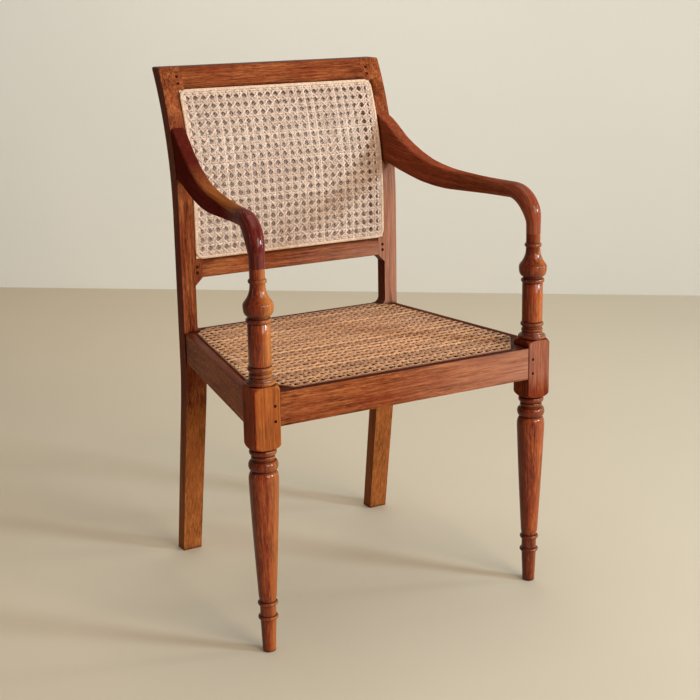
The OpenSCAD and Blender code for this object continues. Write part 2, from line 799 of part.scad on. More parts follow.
// Closed skin through rings, whose last one is capped in level strips from its right side to its left
module skin(rings) {
    n = len(rings[0]);
    m = len(rings);
    end = (m - 1) * n;
    polyhedron(
        [for (ring = rings, p = ring) p],
        concat(
            [[for (i = [n - 1:-1:0]) i]],
            [for (k = [0:m - 2], i = [0:n - 1]) let (j = (i + 1) % n) [k * n + i, k * n + j, (k + 1) * n + j]],
            [for (k = [0:m - 2], i = [0:n - 1]) let (j = (i + 1) % n)
                [k * n + i, (k + 1) * n + j, (k + 1) * n + i]],
            [for (i = [0:n / 2 - 2]) [end + i, end + i + 1, end + n - 2 - i]],
            [for (i = [0:n / 2 - 2]) [end + i, end + n - 2 - i, end + n - 1 - i]]));
}

arm_end_z = arm_level + (arm_top[6] + arm_bottom[6]) / 2;

module arm_tenon_slab(g = 0) {
    y0 = face_y(arm_end_z - arm_tenon_h / 2) - 6;
    y1 = face_y(arm_end_z) + arm_tenon;
    translate([arm_rear_x - tenon_t / 2 - g, y0, arm_end_z - arm_tenon_h / 2 - g])
        cube([tenon_t + 2 * g, y1 - y0 + g, arm_tenon_h + 2 * g]);
}

module arm() {
    difference() {
        union() {
            skin(concat(bend_part(), run_part()));
            arm_tenon_slab();
        }
        translate([leg_x, 0, neck_z - weld])
            cylinder(d = dowel_d + 2 * fit, h = dowel_len + 2 + weld, $fn = 48);
    }
}

module arm_left() {
    color(wood) side(-1) arm();
}

module arm_right() {
    color(wood) side(1) arm();
}

/* Cane on both faces of the back, and the reeds that lock the sheets in their grooves */

reed_x = post_x - back_margin;
reed_z0 = lower_rail_z + lower_margin;
reed_z1 = chair_h - crest_margin;
back_outline = [[-reed_x, reed_z0], [reed_x, reed_z0], [reed_x, reed_z1], [-reed_x, reed_z1]];

// Layer that follows the back, from depth o0 to depth o1 behind its front face
module face_layer(o0, o1) {
    along_x(-post_x, post_x) polygon(concat(
        back_curve(lower_rail_z, o0), reversed(back_curve(lower_rail_z, o1))));
}

// Ring of the back's reed, grown by g on each side
module back_ring(g) {
    along_y(0, 2 * bend_y) difference() {
        polygon(rounded(inset(back_outline, -g), back_reed_r + g));
        polygon(rounded(inset(back_outline, back_reed_w + g), back_reed_r - back_reed_w - g));
    }
}

// Layer of the front face, or the same layer of the rear face, from o0 to o1 into the wood
module wood_layer(rear, o0, o1) {
    if (rear) face_layer(post_t - o1, post_t - o0);
    else face_layer(o0, o1);
}

module back_groove() {
    for (rear = [false, true]) intersection() {
        wood_layer(rear, -weld, groove_d);
        back_ring(fit);
    }
}

module back_reed(rear) {
    color(cane_color) intersection() {
        wood_layer(rear, -reed_proud, groove_d - fit);
        back_ring(0);
    }
}

module back_cane(rear) {
    margin = back_reed_w + fit;
    w = 2 * (reed_x - margin);
    h = reed_z1 - reed_z0 - 2 * margin;
    px = w / back_cells_x;
    pz = h / back_cells_z;
    hole = hole_share * min(px, pz);
    color(cane_color) intersection() {
        wood_layer(rear, -fit - cane_t, -fit);
        along_y(0, 2 * bend_y) difference() {
            polygon(rounded(inset(back_outline, margin), back_reed_r - margin));
            for (i = [0:back_cells_x - 1], j = [0:back_cells_z - 1])
                translate([-w / 2 + px * (i + 0.5), reed_z0 + margin + pz * (j + 0.5)])
                    rotate(22.5) circle(d = hole, $fn = 8);
        }
    }
}

module back_cane_front() {
    back_cane(false);
}

module back_cane_rear() {
    back_cane(true);
}

module back_reed_front() {
    back_reed(false);
}

module back_reed_rear() {
    back_reed(true);
}

/* Cane of the seat, and its reed */

cane_y0 = front_face_y + seat_front_margin;
cane_y1 = rear_face_y - seat_rear_margin;
front_cut_y = half_block + front_cut_d;
rear_cut_y = seat_run - rear_cut_d;

function cane_edge_x(y) = side_x(y) - seat_margin;

seat_right = [[leg_x - half_block - front_cut_w, cane_y0], [cane_edge_x(front_cut_y), front_cut_y],
    [cane_edge_x(rear_cut_y), rear_cut_y], [rail_x - rear_cut_w, cane_y1]];
seat_outline = concat(seat_right, [for (p = reversed(seat_right)) [-p.x, p.y]]);

module seat_ring(g) {
    difference() {
        polygon(rounded(inset(seat_outline, -g), seat_reed_r + g));
        polygon(rounded(inset(seat_outline, seat_reed_w + g), seat_reed_r - seat_reed_w - g));
    }
}

module seat_groove() {
    translate([0, 0, seat_h - groove_d]) linear_extrude(groove_d + weld) seat_ring(fit);
}

module seat_reed() {
    color(cane_color) translate([0, 0, seat_h - groove_d + fit])
        linear_extrude(groove_d + reed_proud - fit) seat_ring(0);
}

// Whether a hole of the seat's cane at p lies clear of the sheet's edge
function on_sheet(p, edge) = let (q = inset(seat_outline, edge), n = len(q))
    min([for (i = [0:n - 1]) left_of(unit(q[(i + 1) % n] - q[i])) * (p - q[i])]) > 0;

module seat_cane() {
    margin = seat_reed_w + fit;
    hole = hole_share * seat_pitch;
    nx = ceil(leg_x / seat_pitch);
    ny = ceil(seat_run / seat_pitch / 2);
    mid = [0, (cane_y0 + cane_y1) / 2];
    color(cane_color) translate([0, 0, seat_h + fit]) linear_extrude(cane_t) difference() {
        polygon(rounded(inset(seat_outline, margin), seat_reed_r - margin));
        for (i = [-nx:nx], j = [-ny:ny])
            if (on_sheet(mid + [i, j] * seat_pitch, margin + hole / 2 + weld))
                translate(mid + [i, j] * seat_pitch) rotate(22.5) circle(d = hole, $fn = 8);
    }
}

translate([0, -centre_y, 0]) {
    front_leg_left();
    front_leg_right();
    rear_post_left();
    rear_post_right();
    arm_left();
    arm_right();
    crest_rail();
    lower_back_rail();
    seat_rail_front();
    seat_rail_rear();
    seat_rail_left();
    seat_rail_right();
    corner_block_front_left();
    corner_block_front_right();
    corner_block_rear_left();
    corner_block_rear_right();
    back_cane_front();
    back_cane_rear();
    back_reed_front();
    back_reed_rear();
    seat_cane();
    seat_reed();
    crest_pegs();
    lower_rail_pegs();
    front_rail_pegs();
    corner_screws();
}
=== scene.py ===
import math
import random
from collections import namedtuple

import bmesh
import bpy
from mathutils import Matrix, Vector


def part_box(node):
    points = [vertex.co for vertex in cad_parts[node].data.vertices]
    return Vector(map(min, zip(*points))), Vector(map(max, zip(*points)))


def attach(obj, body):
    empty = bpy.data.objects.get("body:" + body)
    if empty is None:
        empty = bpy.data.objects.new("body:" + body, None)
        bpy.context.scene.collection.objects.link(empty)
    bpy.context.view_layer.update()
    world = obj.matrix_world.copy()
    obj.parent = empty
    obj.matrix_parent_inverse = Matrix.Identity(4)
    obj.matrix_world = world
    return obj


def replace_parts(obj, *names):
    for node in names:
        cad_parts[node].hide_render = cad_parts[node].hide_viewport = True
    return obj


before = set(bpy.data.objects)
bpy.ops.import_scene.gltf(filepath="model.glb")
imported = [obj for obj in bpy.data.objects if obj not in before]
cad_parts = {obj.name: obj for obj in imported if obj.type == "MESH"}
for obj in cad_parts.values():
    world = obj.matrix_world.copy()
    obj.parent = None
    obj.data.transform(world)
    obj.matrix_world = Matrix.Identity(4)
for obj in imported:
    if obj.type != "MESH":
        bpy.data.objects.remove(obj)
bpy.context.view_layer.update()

# Sizes are in millimetres, as in the CAD, and MM turns them into metres. Depths are counted back from the
# axes of the front legs, whose own depth, LEG_Y, is in metres.
MM = 0.001
leg_lo, leg_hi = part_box("front_leg_right")
_, post_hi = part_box("rear_post_right")
rail_lo, rail_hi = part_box("seat_rail_front")
LEG_X = (leg_lo.x + leg_hi.x) / 2 / MM
LEG_Y = (leg_lo.y + leg_hi.y) / 2
SEAT_H = rail_hi.z / MM
RAIL_Z = rail_lo.z / MM
CHAIR_H = post_hi.z / MM
POST_X = post_hi.x / MM
SEAT_RUN = 394
POST_W = 40
POST_T = 27
BACK_BEND_Z = 650
BACK_BEND_R = 540
RAIL_X = POST_X - POST_W
SIDE_RAIL_X0, SIDE_RAIL_X1 = 278.5, 220.5
HALF_BLOCK = 22.5
BLOCK_Z0 = RAIL_Z - 36
BLOCK_Z1 = SEAT_H + 12
NECK_Z = BLOCK_Z1 + 183
LOWER_RAIL_Z = 538
CREST_H = 50
PITCH = 15.8
BACK_REED_X = POST_X - 28
REED_Z0 = 572
REED_Z1 = CHAIR_H - 38.5

rng = random.Random(7)


def place(x, y, z):
    """Point on the chair, in metres, from its place in millimetres."""
    return Vector((x * MM, LEG_Y + y * MM, z * MM))


def clamp(value):
    return min(max(value, 0), 1)


# Meshes

def new_object(name, data):
    obj = bpy.data.objects.new(name, data)
    bpy.context.scene.collection.objects.link(obj)
    return obj


def make_object(name, verts, faces, material, smooth_angle=40):
    """Smooth piece of the chair, which stays sharp where its faces meet at more than smooth_angle."""
    mesh = bpy.data.meshes.new(name)
    mesh.from_pydata([tuple(v) for v in verts], [], faces)
    mesh.update()
    bm = bmesh.new()
    bm.from_mesh(mesh)
    bmesh.ops.recalc_face_normals(bm, faces=bm.faces)
    bm.to_mesh(mesh)
    bm.free()
    obj = new_object(name, mesh)
    mesh.materials.append(material)
    mesh.shade_smooth()
    mesh.set_sharp_from_angle(angle=math.radians(smooth_angle))
    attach(obj, "root")
    return obj


def set_attribute(mesh, name, kind, values):
    """Number or vector at each vertex, for the materials."""
    layer = mesh.attributes.new(name, kind, "POINT")
    key = "vector" if kind == "FLOAT_VECTOR" else "value"
    flat = [c for v in values for c in v] if key == "vector" else values
    layer.data.foreach_set(key, flat)


def skin(rings, closed=False):
    """Vertices and faces of a tube through rings that each have the same number of points."""
    n = len(rings[0])
    m = len(rings)
    verts = [p for ring in rings for p in ring]
    spans = m if closed else m - 1
    faces = []
    for k in range(spans):
        a, b = k * n, (k + 1) % m * n
        for i in range(n):
            j = (i + 1) % n
            faces.append((a + i, a + j, b + j, b + i))
    if not closed:
        faces.append(tuple(range(n - 1, -1, -1)))
        faces.append(tuple(range((m - 1) * n, m * n)))
    return verts, faces


def bezier(p0, p1, p2, p3, n):
    """Points of a cubic curve that runs from p0 to p3 in n steps."""
    points = []
    for i in range(n + 1):
        t = i / n
        s = 1 - t
        w = (s * s * s, 3 * s * s * t, 3 * s * t * t, t * t * t)
        points.append(tuple(sum(w[k] * p[c] for k, p in enumerate((p0, p1, p2, p3))) for c in (0, 1)))
    return points


def bead(z0, z1, r0, r1, n=12):
    """Half-round bead of a turning, from z0 to z1, which swells from radius r0 to r1."""
    points = []
    for i in range(n + 1):
        a = math.pi * i / n
        points.append((r0 + (r1 - r0) * math.sin(a), (z0 + z1) / 2 - (z1 - z0) / 2 * math.cos(a)))
    return points


def along(values, t):
    """Value at t, from 0 to 1, of a smooth curve through evenly spaced values."""
    n = len(values) - 1
    i = min(int(t * n), n - 1)
    f = t * n - i
    a, b, c, d = values[max(i - 1, 0)], values[i], values[i + 1], values[min(i + 2, n)]
    return (2 * b + (c - a) * f + (2 * a - 5 * b + 4 * c - d) * f ** 2 + (3 * b - a - 3 * c + d) * f ** 3) / 2


def side_rail_x(y):
    """Outer face of the side rail at depth y."""
    return SIDE_RAIL_X0 + (SIDE_RAIL_X1 - SIDE_RAIL_X0) * (y - HALF_BLOCK) / (SEAT_RUN - HALF_BLOCK)


def face_y(z):
    """Depth of the back's front face at height z."""
    if z < BACK_BEND_Z:
        return SEAT_RUN
    return SEAT_RUN + BACK_BEND_R - math.sqrt(BACK_BEND_R ** 2 - (z - BACK_BEND_Z) ** 2)


def back_point(x, s, off):
    """Point of the back at x and at length s up its front face, off behind that face."""
    if s < 0:
        return place(x, SEAT_RUN + off, BACK_BEND_Z + s)
    a = s / BACK_BEND_R
    r = BACK_BEND_R - off
    return place(x, SEAT_RUN + BACK_BEND_R - r * math.cos(a), BACK_BEND_Z + r * math.sin(a))


def length_up(z):
    """Length up the back's front face at height z, counted from where the back starts to lean."""
    return z - BACK_BEND_Z if z < BACK_BEND_Z else BACK_BEND_R * math.asin((z - BACK_BEND_Z) / BACK_BEND_R)


# Node graphs

class Graph:
    """Short way to write a material's nodes."""

    def __init__(self, name):
        self.material = bpy.data.materials.new(name)
        self.material.use_nodes = True
        self.tree = self.material.node_tree
        self.tree.nodes.clear()
        self.out = self.tree.nodes.new("ShaderNodeOutputMaterial")

    def add(self, kind, inputs=None, **settings):
        node = self.tree.nodes.new("ShaderNode" + kind)
        for key, value in settings.items():
            setattr(node, key, value)
        for key, value in (inputs or {}).items():
            if isinstance(value, bpy.types.NodeSocket):
                self.tree.links.new(value, node.inputs[key])
            else:
                node.inputs[key].default_value = value
        return node

    def math(self, operation, a, b=0.0, c=0.0):
        return self.add("Math", {0: a, 1: b, 2: c}, operation=operation).outputs[0]

    def vector(self, operation, a, b=(0, 0, 0)):
        return self.add("VectorMath", {0: a, 1: b}, operation=operation).outputs[0]

    def attribute(self, name):
        return self.add("Attribute", attribute_name=name).outputs["Fac"]

    def noise(self, coords, scale, detail=2.0, roughness=0.5):
        return self.add("TexNoise", {"Vector": coords, "Scale": scale, "Detail": detail,
                                     "Roughness": roughness}).outputs["Fac"]

    def ramp(self, factor, stops):
        node = self.add("ValToRGB", {"Fac": factor})
        ramp = node.color_ramp
        while len(ramp.elements) < len(stops):
            ramp.elements.new(0.5)
        for element, (position, colour) in zip(ramp.elements, stops):
            element.position = position
            element.color = (*colour, 1)
        return node.outputs["Color"]

    def mix(self, factor, a, b, blend="MIX"):
        node = self.add("Mix", data_type="RGBA", blend_type=blend)
        for key, value in ((0, factor), (6, a), (7, b)):
            if isinstance(value, bpy.types.NodeSocket):
                self.tree.links.new(value, node.inputs[key])
            elif key == 0:
                node.inputs[key].default_value = value
            else:
                node.inputs[key].default_value = (*value, 1)
        return node.outputs[2]

    def range(self, value, lo, hi, to_lo=0.0, to_hi=1.0):
        return self.add("MapRange", {"Value": value, "From Min": lo, "From Max": hi,
                                     "To Min": to_lo, "To Max": to_hi}).outputs[0]

    def finish(self, **inputs):
        shader = self.add("BsdfPrincipled")
        for key, value in inputs.items():
            key = key.replace("_", " ")
            if isinstance(value, bpy.types.NodeSocket):
                self.tree.links.new(value, shader.inputs[key])
            else:
                shader.inputs[key].default_value = value
        self.tree.links.new(shader.outputs[0], self.out.inputs["Surface"])
        return self.material


def srgb(r, g, b):
    """Linear colour from the 0 to 255 values of a screen colour."""
    def linear(v):
        v /= 255
        return v / 12.92 if v < 0.04045 else ((v + 0.055) / 1.055) ** 2.4
    return (linear(r), linear(g), linear(b))


# Pale pink of the painted sheen, a reflection painted on the lower right front faces
PAINTED_SHEEN = srgb(180, 130, 108)
# Dark red: old polish in the turnings' rings, a darker block, and painted shade on side and top faces and on
# the arms
POLISH_AND_SHADE = srgb(80, 27, 18)
# Pale orange: painted light on faces towards the lamps, partly on the arms' tops with rubbed wear, and
# lighter wood low on the posts
WORN_AND_LIT = srgb(198, 124, 58)
# Pale wood under the back's cane: bare wood, painted paler still as light in the shaded gap between the
# sheets
BARE_AND_LIT = srgb(236, 206, 186)


def painted_sheen_share(g, where, facing, streaks):
    """Share of the painted sheen, a pale reflection painted on the front faces of the lower right part."""
    side = g.range(where["X"], -0.05, 0.24)
    level = g.math("MULTIPLY", g.range(where["Z"], 0.69, 0.76, 1.0, 0.0), g.range(where["Z"], 0.36, 0.39))
    front = g.range(facing["Y"], -0.95, -0.6, 1.0, 0.0)
    share = g.math("MULTIPLY", g.math("MULTIPLY", side, level), g.math("MULTIPLY", front, 0.5))
    share = g.math("MULTIPLY", share, g.attribute("painted_sheen_strength"))
    return g.math("MULTIPLY", share, g.range(streaks, 0.35, 0.65, 0.5, 1.2))


def bare_and_lit_under_cane(g, where):
    """Share of pale wood under the back's cane: bare, and painted paler as light in the shaded gap."""
    side = g.range(g.math("ABSOLUTE", where["X"]), (BACK_REED_X - 2) * MM, (BACK_REED_X - 1.5) * MM, 1.0, 0.0)
    level = g.math("MULTIPLY", g.range(where["Z"], (REED_Z0 + 1) * MM, (REED_Z0 + 2) * MM),
                   g.range(where["Z"], (REED_Z1 - 2) * MM, (REED_Z1 - 1) * MM, 1.0, 0.0))
    return g.math("MULTIPLY", side, level)


def painted_side_shade(g, facing):
    """Share of painted shade, on the side and top faces."""
    edge_on = g.range(g.math("ABSOLUTE", facing["Y"]), 0.3, 0.8, 1.0, 0.0)
    share = g.math("MULTIPLY", edge_on, g.attribute("side_shade_share"))
    top = g.math("MULTIPLY", g.range(facing["Z"], 0.7, 0.95), g.math("GREATER_THAN", share, 0.01))
    return g.math("MULTIPLY_ADD", top, 0.8, share)


def wood_material(name, light, middle, dark, own_coords=True, gloss=0.5, lit_sides=False, sheen=0.02):
    """Oiled red-brown hardwood. The grain runs along the third of its coordinates, which are in metres.
    With its flag for lit sides set, paler wood is painted light on faces towards the front and the right
    only.
    gloss scales its coat of varnish, and sheen is the reflection of the wood under the coat."""
    g = Graph(name)
    if own_coords:
        coords = g.add("Attribute", attribute_name="grain").outputs["Vector"]
    else:
        coords = g.add("TexCoord").outputs["Object"]
    bend = g.add("TexNoise", {"Vector": g.vector("MULTIPLY", coords, (16, 16, 4)), "Scale": 1.0,
                              "Detail": 2.0}).outputs["Color"]
    bend = g.vector("MULTIPLY", g.vector("SUBTRACT", bend, (0.5, 0.5, 0.5)), (0.03, 0.03, 0.03))
    flat = g.vector("MULTIPLY", g.vector("ADD", coords, bend), (1, 1, 0.02))
    radius = g.vector("LENGTH", g.vector("ADD", flat, (0.06, 0.09, 0))).node.outputs["Value"]
    rings = g.math("SINE", g.math("MULTIPLY", radius, 2 * math.pi / 0.011))
    flecks = g.noise(g.vector("MULTIPLY", coords, (560, 560, 60)), 1.0, 3.0, 0.62)
    streaks = g.noise(g.vector("MULTIPLY", coords, (330, 330, 11)), 1.0, 4.0, 0.6)
    patches = g.noise(g.vector("MULTIPLY", coords, (26, 26, 9)), 1.0, 3.0, 0.55)
    pores = g.range(g.noise(g.vector("MULTIPLY", coords, (1500, 1500, 110)), 1.0, 1.0), 0.58, 0.72)
    tone = g.math("MULTIPLY_ADD", rings, 0.04, g.math("MULTIPLY", flecks, 0.8))
    tone = g.math("MULTIPLY_ADD", streaks, 0.8, tone)
    tone = g.math("MULTIPLY_ADD", patches, 0.5, tone)
    colour = g.ramp(g.range(tone, 0.8, 1.3), [(0.0, dark), (0.5, middle), (1.0, light)])
    red = tuple(c * f for c, f in zip(middle, (0.95, 0.68, 0.72)))
    hue = g.noise(g.vector("MULTIPLY", coords, (30, 30, 11)), 1.7, 2.0)
    colour = g.mix(g.range(hue, 0.42, 0.68, 0.0, 0.55), colour, red)
    deep = tuple(c * 0.3 for c in dark)
    colour = g.mix(g.math("MULTIPLY", pores, 0.5), colour, deep)
    at = g.add("TexCoord")
    where = g.add("SeparateXYZ", {0: at.outputs["Object"]}).outputs
    facing = g.add("SeparateXYZ", {0: at.outputs["Normal"]}).outputs
    # Old polish in the rings and a darker block on the turnings, and painted shade on the arms
    colour = g.mix(g.attribute("polish_and_shade"), colour, POLISH_AND_SHADE)
    # Painted reflection: a pale sheen on the lower right front faces
    colour = g.mix(painted_sheen_share(g, where, facing, streaks), colour, PAINTED_SHEEN)
    # Painted shade: darker side and top faces
    colour = g.mix(painted_side_shade(g, facing), colour, POLISH_AND_SHADE)
    # Paler wood: painted light on the turnings' faces towards the lamps, partly on the arms' tops, and low on
    # the posts
    worn_and_lit = g.math("MULTIPLY", g.attribute("worn_and_lit"), g.range(streaks, 0.3, 0.6, 0.6, 1.0))
    if lit_sides:
        worn_and_lit = g.math("MULTIPLY", worn_and_lit, g.range(facing["X"], -0.35, 0.35))
        worn_and_lit = g.math("MULTIPLY", worn_and_lit, g.range(facing["Y"], -0.5, -0.1, 1.0, 0.1))
    colour = g.mix(worn_and_lit, colour, WORN_AND_LIT)
    # Painted shade: darker wood in creases, joints and recesses, by ambient occlusion
    ao_shade = g.add("AmbientOcclusion", {"Distance": 0.007}, samples=4).outputs["AO"]
    colour = g.mix(g.range(ao_shade, 0.4, 0.9, 0.9, 0.0), colour, deep)
    # Painted light: pale wood under the back's cane, where the gap between the sheets is in shade
    colour = g.mix(bare_and_lit_under_cane(g, where), colour, BARE_AND_LIT)
    height = g.math("SUBTRACT", g.math("MULTIPLY", flecks, 0.6), pores)
    bump = g.add("Bump", {"Strength": 0.2, "Distance": 0.0003, "Height": height}).outputs[0]
    rough = g.range(streaks, 0.3, 0.7, 0.32, 0.46)
    coat = g.math("MULTIPLY", g.attribute("shine"), gloss) if gloss else 0.0
    return g.finish(Base_Color=colour, Roughness=rough, Normal=bump, Coat_Weight=coat, Coat_Roughness=0.12,
                    Specular_IOR_Level=sheen)


def cane_material(name, light, dark, crevice_shade, depth=0.8, reach=0.004):
    """Split cane: a glossy skin with fine fibres along each strand, whose tone differs from strand to strand.
    Painted shade darkens its crevices by the share depth, within reach, and the undersides of hanging
    strands."""
    g = Graph(name)
    coords = g.add("Attribute", attribute_name="strand").outputs["Vector"]
    tone = g.attribute("tone")
    fibres = g.noise(g.vector("MULTIPLY", coords, (2600, 2600, 30)), 1.0, 2.0, 0.6)
    knots = g.range(g.noise(g.vector("MULTIPLY", coords, (60, 60, 25)), 1.0, 2.0), 0.62, 0.76)
    mottle = g.noise(g.vector("MULTIPLY", coords, (420, 420, 260)), 1.0, 1.0)
    value = g.math("MULTIPLY_ADD", fibres, 0.4, tone)
    value = g.math("MULTIPLY_ADD", g.math("SUBTRACT", mottle, 0.5), 1.6, value)
    colour = g.ramp(g.range(value, 0.1, 1.15), [(0.0, dark), (1.0, light)])
    colour = g.mix(g.math("MULTIPLY", knots, 0.35), colour, tuple(c * 0.5 for c in dark))
    # Painted shade in the crevices of the weave, by ambient occlusion
    ao_shade = g.add("AmbientOcclusion", {"Distance": reach}, samples=4).outputs["AO"]
    colour = g.mix(g.range(ao_shade, 0.2, 0.8, depth, 0.0), colour, crevice_shade)
    # Painted shade on the undersides of the strands that hang in the seat's openings
    facing = g.add("SeparateXYZ", {0: g.add("TexCoord").outputs["Normal"]}).outputs
    inner = g.math("MULTIPLY", g.attribute("inner"), g.range(facing["Z"], -0.8, -0.4))
    colour = g.mix(inner, colour, crevice_shade)
    bump = g.add("Bump", {"Strength": 0.25, "Distance": 0.0002, "Height": fibres}).outputs[0]
    return g.finish(Base_Color=colour, Roughness=0.42, Normal=bump, Specular_IOR_Level=0.3)


WOOD = wood_material("hardwood", srgb(178, 106, 60), srgb(135, 70, 38), srgb(60, 24, 14), gloss=0)
WOOD_TURNED = wood_material("hardwood_turned", srgb(192, 100, 50), srgb(142, 62, 32), srgb(58, 20, 14),
                            lit_sides=True)
WOOD_ARM = wood_material("hardwood_arm", srgb(172, 76, 60), srgb(118, 44, 40), srgb(50, 12, 16), sheen=0.0)
# Dark wood of the pegs' ends and of the corner blocks, whose darkness is partly painted shade at the seat's
# corners
DARK_AND_SHADED_WOOD = wood_material("dark_hardwood", srgb(80, 32, 18), srgb(54, 20, 12), srgb(30, 10, 8),
                          own_coords=False, gloss=0)
# One cane in lit and shaded copies: the back's paler and pinker as painted light, the seat's tan and darker
# as painted shade
CANE_BACK_LIT = cane_material("cane_back_lit", srgb(234, 208, 188), srgb(158, 124, 104), srgb(84, 64, 60),
                          reach=0.003)
# The rear sheet's cane is painted paler, as light in the shaded gap between the sheets
CANE_REAR_LIT = cane_material("cane_rear", srgb(216, 198, 188), srgb(180, 156, 144), srgb(142, 118, 108), 0.4)
CANE_SEAT_SHADED = cane_material("cane_seat_shaded", srgb(240, 178, 126), srgb(92, 43, 22), srgb(32, 12, 7), 1.0, 0.007)
REED = cane_material("reed", srgb(236, 206, 178), srgb(184, 144, 112), srgb(120, 84, 60), 0.5)
# The seat's reed is painted darker, as shade at the seat's edge
REED_SEAT_SHADED = cane_material("reed_seat_shaded", srgb(150, 96, 64), srgb(104, 60, 38), srgb(60, 26, 16))


def steel_material():
    g = Graph("screw_steel")
    coords = g.add("TexCoord").outputs["Object"]
    grain = g.noise(coords, 900.0, 2.0)
    colour = g.ramp(grain, [(0.3, (0.42, 0.42, 0.43)), (0.7, (0.62, 0.62, 0.63))])
    return g.finish(Base_Color=colour, Metallic=1.0, Roughness=g.range(grain, 0.3, 0.7, 0.28, 0.4))


STEEL = steel_material()


# Flat wooden members, from the CAD solids with eased edges

# Full easing of an edge
EASING = 1.6
# Strength of the painted sheen, a pale reflection painted on the lower right front faces
POST_SHEEN_PAINT, RAIL_SHEEN_PAINT = 1.6, 1.15
# Share of lighter wood low on the posts, and the height where it ends
POST_PALE, POST_PALE_TOP = 0.3, 300


def grain_shift(seed):
    """Place in the wood's pattern at which a piece's grain starts, so that no two pieces are alike."""
    return Vector((seed * 0.173 % 1, seed * 0.311 % 1, seed * 0.737 % 1))


def grain_along(axis, seed):
    """Function that gives a point's grain coordinates, with the grain along an axis."""
    shift = grain_shift(seed)
    order = {"x": (1, 2, 0), "y": (2, 0, 1), "z": (0, 1, 2)}[axis]
    return lambda co: tuple(co[i] + shift[k] for k, i in enumerate(order))


def eased_member(node, axis, seed, weight_of, side_shade_share):
    """Copy of a CAD node with clean faces, eased edges and a grain along an axis. weight_of gives the share
    of the full easing at an edge, from the place of the edge's middle."""
    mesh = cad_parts[node].data.copy()
    bm = bmesh.new()
    bm.from_mesh(mesh)
    bmesh.ops.remove_doubles(bm, verts=bm.verts, dist=1e-6)
    bmesh.ops.dissolve_limit(bm, angle_limit=math.radians(0.4), verts=bm.verts, edges=bm.edges)
    layer = bm.edges.layers.float.new("bevel_weight_edge")
    for edge in bm.edges:
        if len(edge.link_faces) == 2 and edge.calc_face_angle(0) > math.radians(20):
            mid = (edge.verts[0].co + edge.verts[1].co) / 2
            edge[layer] = weight_of(abs(mid.x) / MM, (mid.y - LEG_Y) / MM, mid.z / MM)
    bm.to_mesh(mesh)
    bm.free()
    mesh.materials.clear()
    mesh.materials.append(WOOD)
    obj = new_object(node + "_wood", mesh)
    grain = grain_along(axis, seed)
    is_post = node.startswith("rear_post")
    # Lighter wood low on the posts, the strength of the painted sheen, and the share of painted shade on side
    # and top faces
    worn_and_lit = [POST_PALE if is_post and v.co.z < POST_PALE_TOP * MM else 0.0 for v in mesh.vertices]
    set_attribute(mesh, "grain", "FLOAT_VECTOR", [grain(v.co) for v in mesh.vertices])
    set_attribute(mesh, "painted_sheen_strength", "FLOAT", [POST_SHEEN_PAINT if is_post else RAIL_SHEEN_PAINT] * len(worn_and_lit))
    set_attribute(mesh, "side_shade_share", "FLOAT", [side_shade_share] * len(worn_and_lit))
    set_attribute(mesh, "worn_and_lit", "FLOAT", worn_and_lit)
    mesh.shade_smooth()
    mesh.set_sharp_from_angle(angle=math.radians(35))
    bevel = obj.modifiers.new("eased_edges", "BEVEL")
    bevel.limit_method = "WEIGHT"
    bevel.width = EASING * MM
    bevel.segments = 3
    bevel.harden_normals = True
    bevel.use_clamp_overlap = True
    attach(obj, "root")
    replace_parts(obj, node)


# Least easing, which leaves only a fine line where two members meet flush
LINE = 0.28
# How near an edge's middle has to be to a plane to count as on it
NEAR = 0.5
# Height just under the floor of the seat's groove
GROOVE_Z = SEAT_H - 7


def in_back_groove(z):
    """Whether a height is within the outer edges of the back's reeds."""
    return REED_Z0 - 1 < z < REED_Z1 + 1


def post_weight(x, y, z):
    """Easing of a post: none in its grooves and mortises, and a line where rails meet it."""
    if x < BACK_REED_X + NEAR and in_back_groove(z):
        return 0
    if x < BACK_REED_X - 2 and y < SEAT_RUN + 8 and GROOVE_Z < z < SEAT_H + NEAR:
        return 0
    if abs(x - RAIL_X) < NEAR and (RAIL_Z < z < SEAT_H or z > LOWER_RAIL_Z):
        return LINE
    on_side_mortise = SEAT_RUN - 2 < y < SEAT_RUN + 16 and RAIL_Z + 2 < z < SEAT_H - 2
    return 0 if on_side_mortise and RAIL_X + NEAR < x < POST_X - NEAR else 1


def back_rail_weight(x, y, z):
    """Easing of the crest rail and the lower back rail: none on their tenons and in their grooves."""
    if x > RAIL_X + NEAR or in_back_groove(z):
        return 0
    return LINE if x > RAIL_X - NEAR else 1


def front_rail_weight(x, y, z):
    """Easing of the front rail: none on its tenons, and of its top edges only the front one."""
    if x > LEG_X - HALF_BLOCK + NEAR or (z > GROOVE_Z and y > 2 - HALF_BLOCK):
        return 0
    return LINE if x > LEG_X - HALF_BLOCK - NEAR else 1


def rear_rail_weight(x, y, z):
    """Easing of the rear rail: none on its tenons, and of its top edges only the rear one."""
    if x > RAIL_X + NEAR or (z > GROOVE_Z and y < SEAT_RUN + 24):
        return 0
    return LINE if x > RAIL_X - NEAR else 1


def side_rail_weight(x, y, z):
    """Easing of a side rail: none on its tenons, and of its top edges only the outer one."""
    if y < HALF_BLOCK - NEAR or y > SEAT_RUN + NEAR or (z > GROOVE_Z and x < side_rail_x(y) - 1):
        return 0
    return LINE if y < HALF_BLOCK + NEAR or y > SEAT_RUN - NEAR else 1


